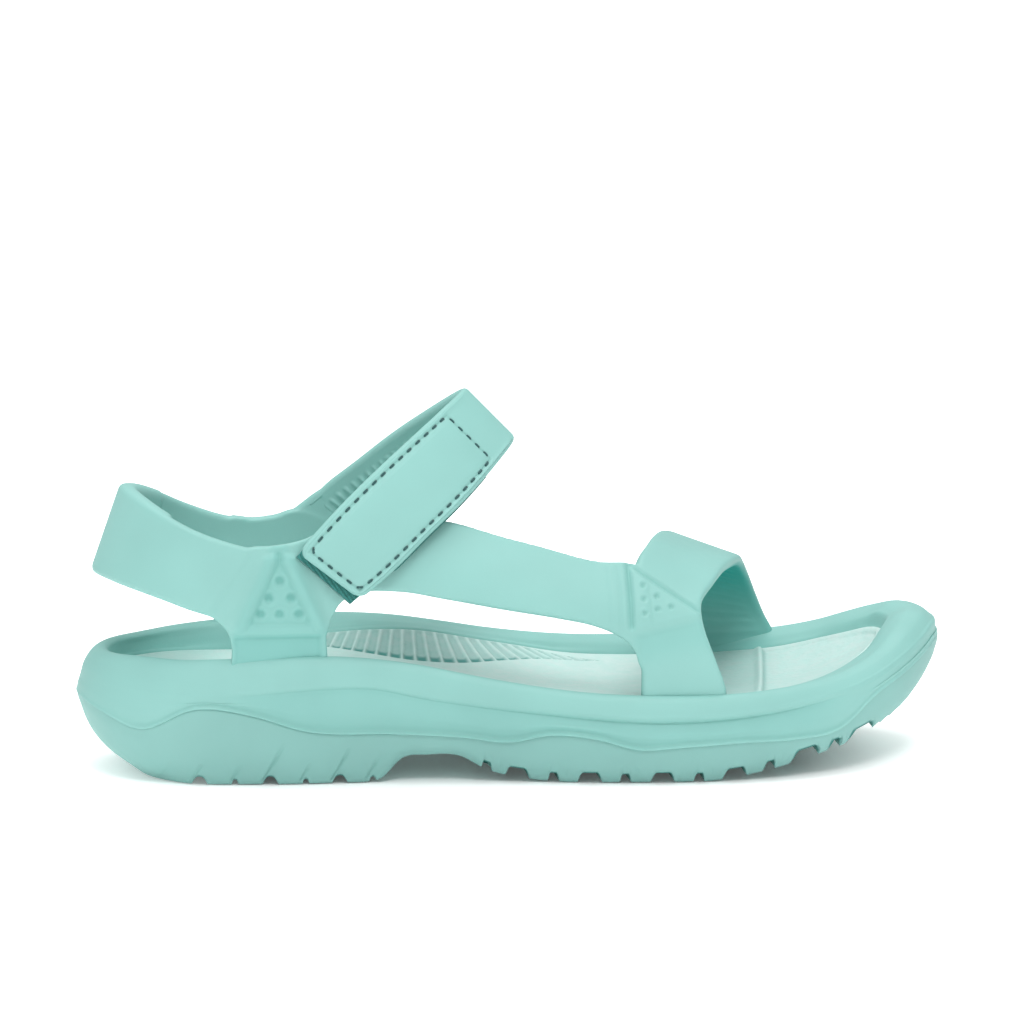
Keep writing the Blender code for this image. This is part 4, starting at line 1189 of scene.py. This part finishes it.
def make_tab(strap, span, finish):
    """The ribbed end of the tape, laid on the post and showing past the flap's tip."""
    def ribs(along, across, width, face):
        turn = (along + 0.25 * across) / 1.2
        return np.where(face == 1, 0.18 * np.cos(2 * np.pi * turn), 0)

    points, faces = band(strap, span, TAB_THICKNESS, sink=3.5, radius=0.4, pitch=0.2, columns=60,
                         relief=ribs, slant=TAB_SLANT)
    return piece("tape_end", points, faces, finish, "sandal", merge=False)


def make_closure(moulded, tape, nap, thread):
    """The straps, the flap and all that is sewn to them."""
    closure = Strap(CLOSURE_FRONT, CLOSURE_BACK)
    hinge = closure.knots[HINGE_STATION]

    def on_flap(span):
        along, across = span
        return tuple(hinge + (1 - hinge) * place for place in along), across

    make_upper(closure, moulded)
    make_closure_strap(closure, moulded)
    make_hook_patch(closure, on_flap(HOOK_SPAN), tape)
    make_loop_patch(closure, on_flap(LOOP_SPAN), nap)
    past = lengthened(closure, TAB_PAST)
    share = closure.length / past.length
    make_tab(past, ((TAB_START * share, 1), (0.03, 0.97)), nap)
    seam = ((hinge + SEAM_START * (1 - hinge), 1 - SEAM_EDGE / closure.length), (0, 1))
    points, faces = stitches(closure, seam, SEAM_EDGE, 2.6, 0.2)
    piece("flap_stitches", points, faces, thread, "flap", ["hook_patch_stitching"],
          merge=False)
    points, faces = stitches(closure, on_flap(LOOP_SPAN), LOOP_SEAM_EDGE, 1.6,
                             LEAF_THICKNESS + PATCH_THICKNESS + 0.75, 0.6)
    piece("loop_tape_stitches", points, faces, thread, "sandal", ["loop_patch_stitching"],
          merge=False)


# ---- materials ----------------------------------------------------------------------------------
def graded(tree, value, start, end, low, high, kind="LINEAR"):
    """Carries a value from the range start to end onto the range low to high."""
    node = tree.nodes.new("ShaderNodeMapRange")
    node.interpolation_type = kind
    for name, number in zip(("From Min", "From Max", "To Min", "To Max"), (start, end, low, high)):
        node.inputs[name].default_value = number
    tree.links.new(value, node.inputs["Value"])
    return node.outputs["Result"]


def sum_of(tree, values):
    total = values[0]
    for value in values[1:]:
        node = tree.nodes.new("ShaderNodeMath")
        node.operation = "ADD"
        tree.links.new(total, node.inputs[0])
        tree.links.new(value, node.inputs[1])
        total = node.outputs[0]
    return total


class Finish:
    """A procedural material, with helpers for its nodes."""

    def __init__(self, name):
        self.made = bpy.data.materials.new(name)
        self.made.use_nodes = True
        self.tree = self.made.node_tree
        self.shader = self.tree.nodes["Principled BSDF"]
        self.place = self.node("ShaderNodeTexCoord").outputs["Object"]

    def feed(self, target, value):
        """Gives an input a value, or joins another node's output to it."""
        if isinstance(value, bpy.types.NodeSocket):
            self.tree.links.new(value, target)
        else:
            target.default_value = value

    def node(self, kind, **settings):
        node = self.tree.nodes.new(kind)
        for name, value in settings.items():
            if name in node.inputs:
                self.feed(node.inputs[name], value)
            else:
                setattr(node, name, value)
        return node

    def shade(self, settings):
        for name, value in settings.items():
            self.feed(self.shader.inputs[name], value)

    def noise(self, scale, detail=3.0, rough=0.5):
        return self.node("ShaderNodeTexNoise", Vector=self.place, Scale=scale, Detail=detail,
                         Roughness=rough).outputs["Fac"]

    def ramp(self, factor, stops):
        node = self.node("ShaderNodeValToRGB", Fac=factor)
        node.color_ramp.interpolation = "EASE"
        for k, (at, colour) in enumerate(stops):
            spot = node.color_ramp.elements[k] if k < 2 else node.color_ramp.elements.new(at)
            spot.position = at
            spot.color = (*colour, 1)
        return node.outputs["Color"]

    def mix(self, factor, first, second, kind="MIX"):
        node = self.node("ShaderNodeMix", data_type="RGBA", blend_type=kind)
        for socket, value in (("Factor", factor), ("A", first), ("B", second)):
            target = [i for i in node.inputs if i.name == socket and i.enabled][0]
            self.feed(target, (*value, 1) if isinstance(value, tuple) else value)
        return [o for o in node.outputs if o.enabled][0]

    def add(self, first, second, share):
        """first, with a share of second on top."""
        node = self.node("ShaderNodeMath", operation="MULTIPLY_ADD")
        for target, value in zip(node.inputs, (second, share, first)):
            self.feed(target, value)
        return node.outputs[0]

    def bump(self, height, distance, strength):
        node = self.node("ShaderNodeBump", Height=height, Distance=distance, Strength=strength)
        return node.outputs["Normal"]


def tint(colour, share):
    return tuple(min(1, c * share) for c in colour)


def moulded_foam(name, colour, roughness, grain, painted_shade_colour, pebble=0.0, grey=0.0):
    """Matte injected foam: a fine skin and slow changes of tone, with painted shade in creases and
    deep places.
    """
    finish = Finish(name)
    slow = finish.noise(28, 2)
    fine = finish.noise(1900, 2, 0.6)
    tone = finish.ramp(slow, [(0.3, tint(colour, 0.965)), (0.7, tint(colour, 1.035))])
    # Painted shade: concave creases, where pointiness is low, are darkened.
    edges = finish.node("ShaderNodeNewGeometry").outputs["Pointiness"]
    painted_crease_shade = [(0.47, (0.90, 0.94, 0.93)), (0.5, (1, 1, 1)), (0.53, (1, 1, 1))]
    tone = finish.mix(1.0, tone, finish.ramp(edges, painted_crease_shade), "MULTIPLY")
    height = fine
    if pebble:
        cells = finish.node("ShaderNodeTexVoronoi", feature="SMOOTH_F1", Scale=620,
                            Vector=finish.place).outputs["Distance"]
        blotch = finish.noise(260, 3)
        height = finish.add(finish.add(blotch, cells, 1.6), fine, 0.25)
        grey_tone = tuple(0.45 * sum(colour) / 3 + 0.55 * c for c in colour)
        specks = finish.ramp(blotch, [(0.35, (0, 0, 0)), (0.7, (grey, grey, grey))])
        tone = finish.mix(specks, tone, tint(grey_tone, 1.06))
    # Painted shade: the point attribute mixes the colour towards the shade colour.
    deep = finish.node("ShaderNodeAttribute", attribute_name=PAINTED_SHADE_ATTRIBUTE).outputs["Fac"]
    finish.shade({
        "Base Color": finish.mix(deep, tone, painted_shade_colour),
        "Roughness": graded(finish.tree, finish.noise(420, 3), 0, 1, roughness - 0.06,
                            roughness + 0.08),
        "Specular IOR Level": 0.5,
        "Subsurface Weight": 0.08,
        "Subsurface Radius": (0.6, 1.0, 0.95),
        "Subsurface Scale": 0.0016,
        "Normal": finish.bump(height, grain + pebble, 0.5),
    })
    return finish.made


def tape_finish(name, colour):
    finish = Finish(name)
    weave = finish.noise(2600, 3, 0.7)
    finish.shade({
        "Base Color": finish.ramp(weave, [(0.3, tint(colour, 0.7)), (0.7, tint(colour, 1.3))]),
        "Roughness": 0.85,
        "Sheen Weight": 0.3,
        "Normal": finish.bump(weave, 0.0001, 0.7),
    })
    return finish.made


def thread_finish(name, colour):
    """Twisted thread: slanting dark and pale strands."""
    finish = Finish(name)
    wave = finish.node("ShaderNodeTexWave", bands_direction="DIAGONAL", Vector=finish.place,
                       Scale=900.0, Distortion=1.5).outputs["Fac"]
    finish.shade({
        "Base Color": finish.ramp(wave, [(0.2, tint(colour, 0.6)), (0.8, tint(colour, 1.5))]),
        "Roughness": 0.6,
        "Sheen Weight": 0.2,
        "Normal": finish.bump(wave, 0.0001, 0.6),
    })
    return finish.made


# ---- studio -------------------------------------------------------------------------------------
CAMERA_PLACE = (-0.2396, -1.9512, 0.4079)
CAMERA_TURN = -7.0  # degrees about the vertical
CAMERA_DIP = 9.475  # degrees below level
CAMERA_LENS = 219.0
LIGHTS = [  # name, place, size and power
    ("key", (0.0, -1.3, 1.85), 0.8, 15.5),
    ("top", (0.0, 0.1, 1.9), 1.4, 15),
    ("front", (-0.5, -2.2, 0.6), 1.4, 2.6),
]
# The world's shades: a direction, the range of its dot product, and the strengths at the two ends.
WORLD_SHADES = [
    ((0, 0, 1), -0.1, 0.8, 0.32, 0.9), ((1, 0, 0), 0.1, 1, 0, -0.3), ((-1, 0, 0), 0.1, 1, 0, -0.16),
]
# The floor's painted glow, which lifts the sandal's shadow and whitens the far floor: a range of
# distances from the middle, and its strengths at the two ends.
FLOOR_GLOW = [(0.09, 0.14, 0.065, 0.45), (1.0, 3.5, 0, 0.25)]
FLOOR_REACH = 30
FLOOR_DROP = 0.0003


def make_camera():
    data = bpy.data.cameras.new("camera")
    data.lens = CAMERA_LENS
    data.sensor_width = 36
    data.clip_start = 0.05
    camera = place_in_scene("camera", data)
    camera.location = CAMERA_PLACE
    camera.rotation_euler = (math.radians(90 - CAMERA_DIP), 0, math.radians(CAMERA_TURN))
    bpy.context.scene.camera = camera


def area_light(name, place, size, power):
    data = bpy.data.lights.new(name, "AREA")
    data.shape = "DISK"
    data.size = size
    data.energy = power
    light = place_in_scene(name, data)
    light.location = place
    light.rotation_mode = "QUATERNION"
    light.rotation_quaternion = (Vector((0, 0, 0.04)) - Vector(place)).to_track_quat("-Z", "Y")


def make_world():
    """Light from all round: brighter above, dimmer towards both ends of the sandal."""
    sky = bpy.data.worlds.new("studio")
    sky.use_nodes = True
    tree = sky.node_tree
    way = tree.nodes.new("ShaderNodeTexCoord").outputs["Generated"]
    shades = []
    for direction, *ranges in WORLD_SHADES:
        dot = tree.nodes.new("ShaderNodeVectorMath")
        dot.operation = "DOT_PRODUCT"
        dot.inputs[1].default_value = direction
        tree.links.new(way, dot.inputs[0])
        shades.append(graded(tree, dot.outputs["Value"], *ranges, kind="SMOOTHSTEP"))
    tree.nodes["Background"].inputs["Color"].default_value = (1, 1, 1, 1)
    tree.links.new(sum_of(tree, shades), tree.nodes["Background"].inputs["Strength"])
    bpy.context.scene.world = sky


def make_floor():
    """A pale floor that glows a little, more so away from the sandal, as the photo's backdrop."""
    finish = Finish("pale_floor")
    distance = finish.node("ShaderNodeVectorMath", operation="LENGTH", Vector=finish.place)
    # Painted light: the glow lightens the shadow round the sandal, most near its heel and toe, and
    # whitens the far floor.
    glow = [graded(finish.tree, distance.outputs["Value"], *ranges) for ranges in FLOOR_GLOW]
    finish.shade({
        "Base Color": finish.ramp(finish.noise(3, 2), [(0.3, (0.96,) * 3), (0.7, (0.98,) * 3)]),
        "Emission Color": (1, 0.99, 0.985, 1),
        "Emission Strength": sum_of(finish.tree, glow),
        "Roughness": 0.9,
        "Specular IOR Level": 0.1,
    })
    corners = [(-1, -1, 0), (1, -1, 0), (1, 1, 0), (-1, 1, 0)]
    mesh = raw_mesh("floor", np.array(corners) * FLOOR_REACH, [(0, 1, 2, 3)])
    mesh.materials.append(finish.made)
    floor = place_in_scene("floor", mesh)
    floor.location.z = CAD_BOX[0].z - FLOOR_DROP


def make_studio():
    make_world()
    for light in LIGHTS:
        area_light(*light)
    make_floor()
    make_camera()
    bpy.context.scene.view_settings.view_transform = "Standard"


# ---- the sandal ---------------------------------------------------------------------------------
MINT = (0.244, 0.502, 0.465)
PALE_MINT = (0.495, 0.69, 0.655)

# The last colour of each foam is its painted shade, for grooves, recesses and the insides of
# straps.
moulded = moulded_foam("foam_moulded", MINT, 0.56, 0.00006, (0.004, 0.33, 0.292))
tread = moulded_foam("foam_tread", tint(MINT, 0.9), 0.6, 0.00007, (0.015, 0.17, 0.15))
bed = moulded_foam("foam_footbed", PALE_MINT, 0.66, 0.00005, (0.05, 0.25, 0.225),
                   pebble=0.00022, grey=0.55)
tape = tape_finish("tape_hooks", (0.02, 0.16, 0.145))
nap = tape_finish("tape_loops", (0.03, 0.20, 0.18))
thread = thread_finish("sewing_thread", (0.01, 0.075, 0.075))

sole = Ring(RING_POINTS)
make_outsole(sole, tread)
make_midsole(sole, moulded)
make_footbed(sole, bed)
make_closure(moulded, tape, nap, thread)
make_studio()
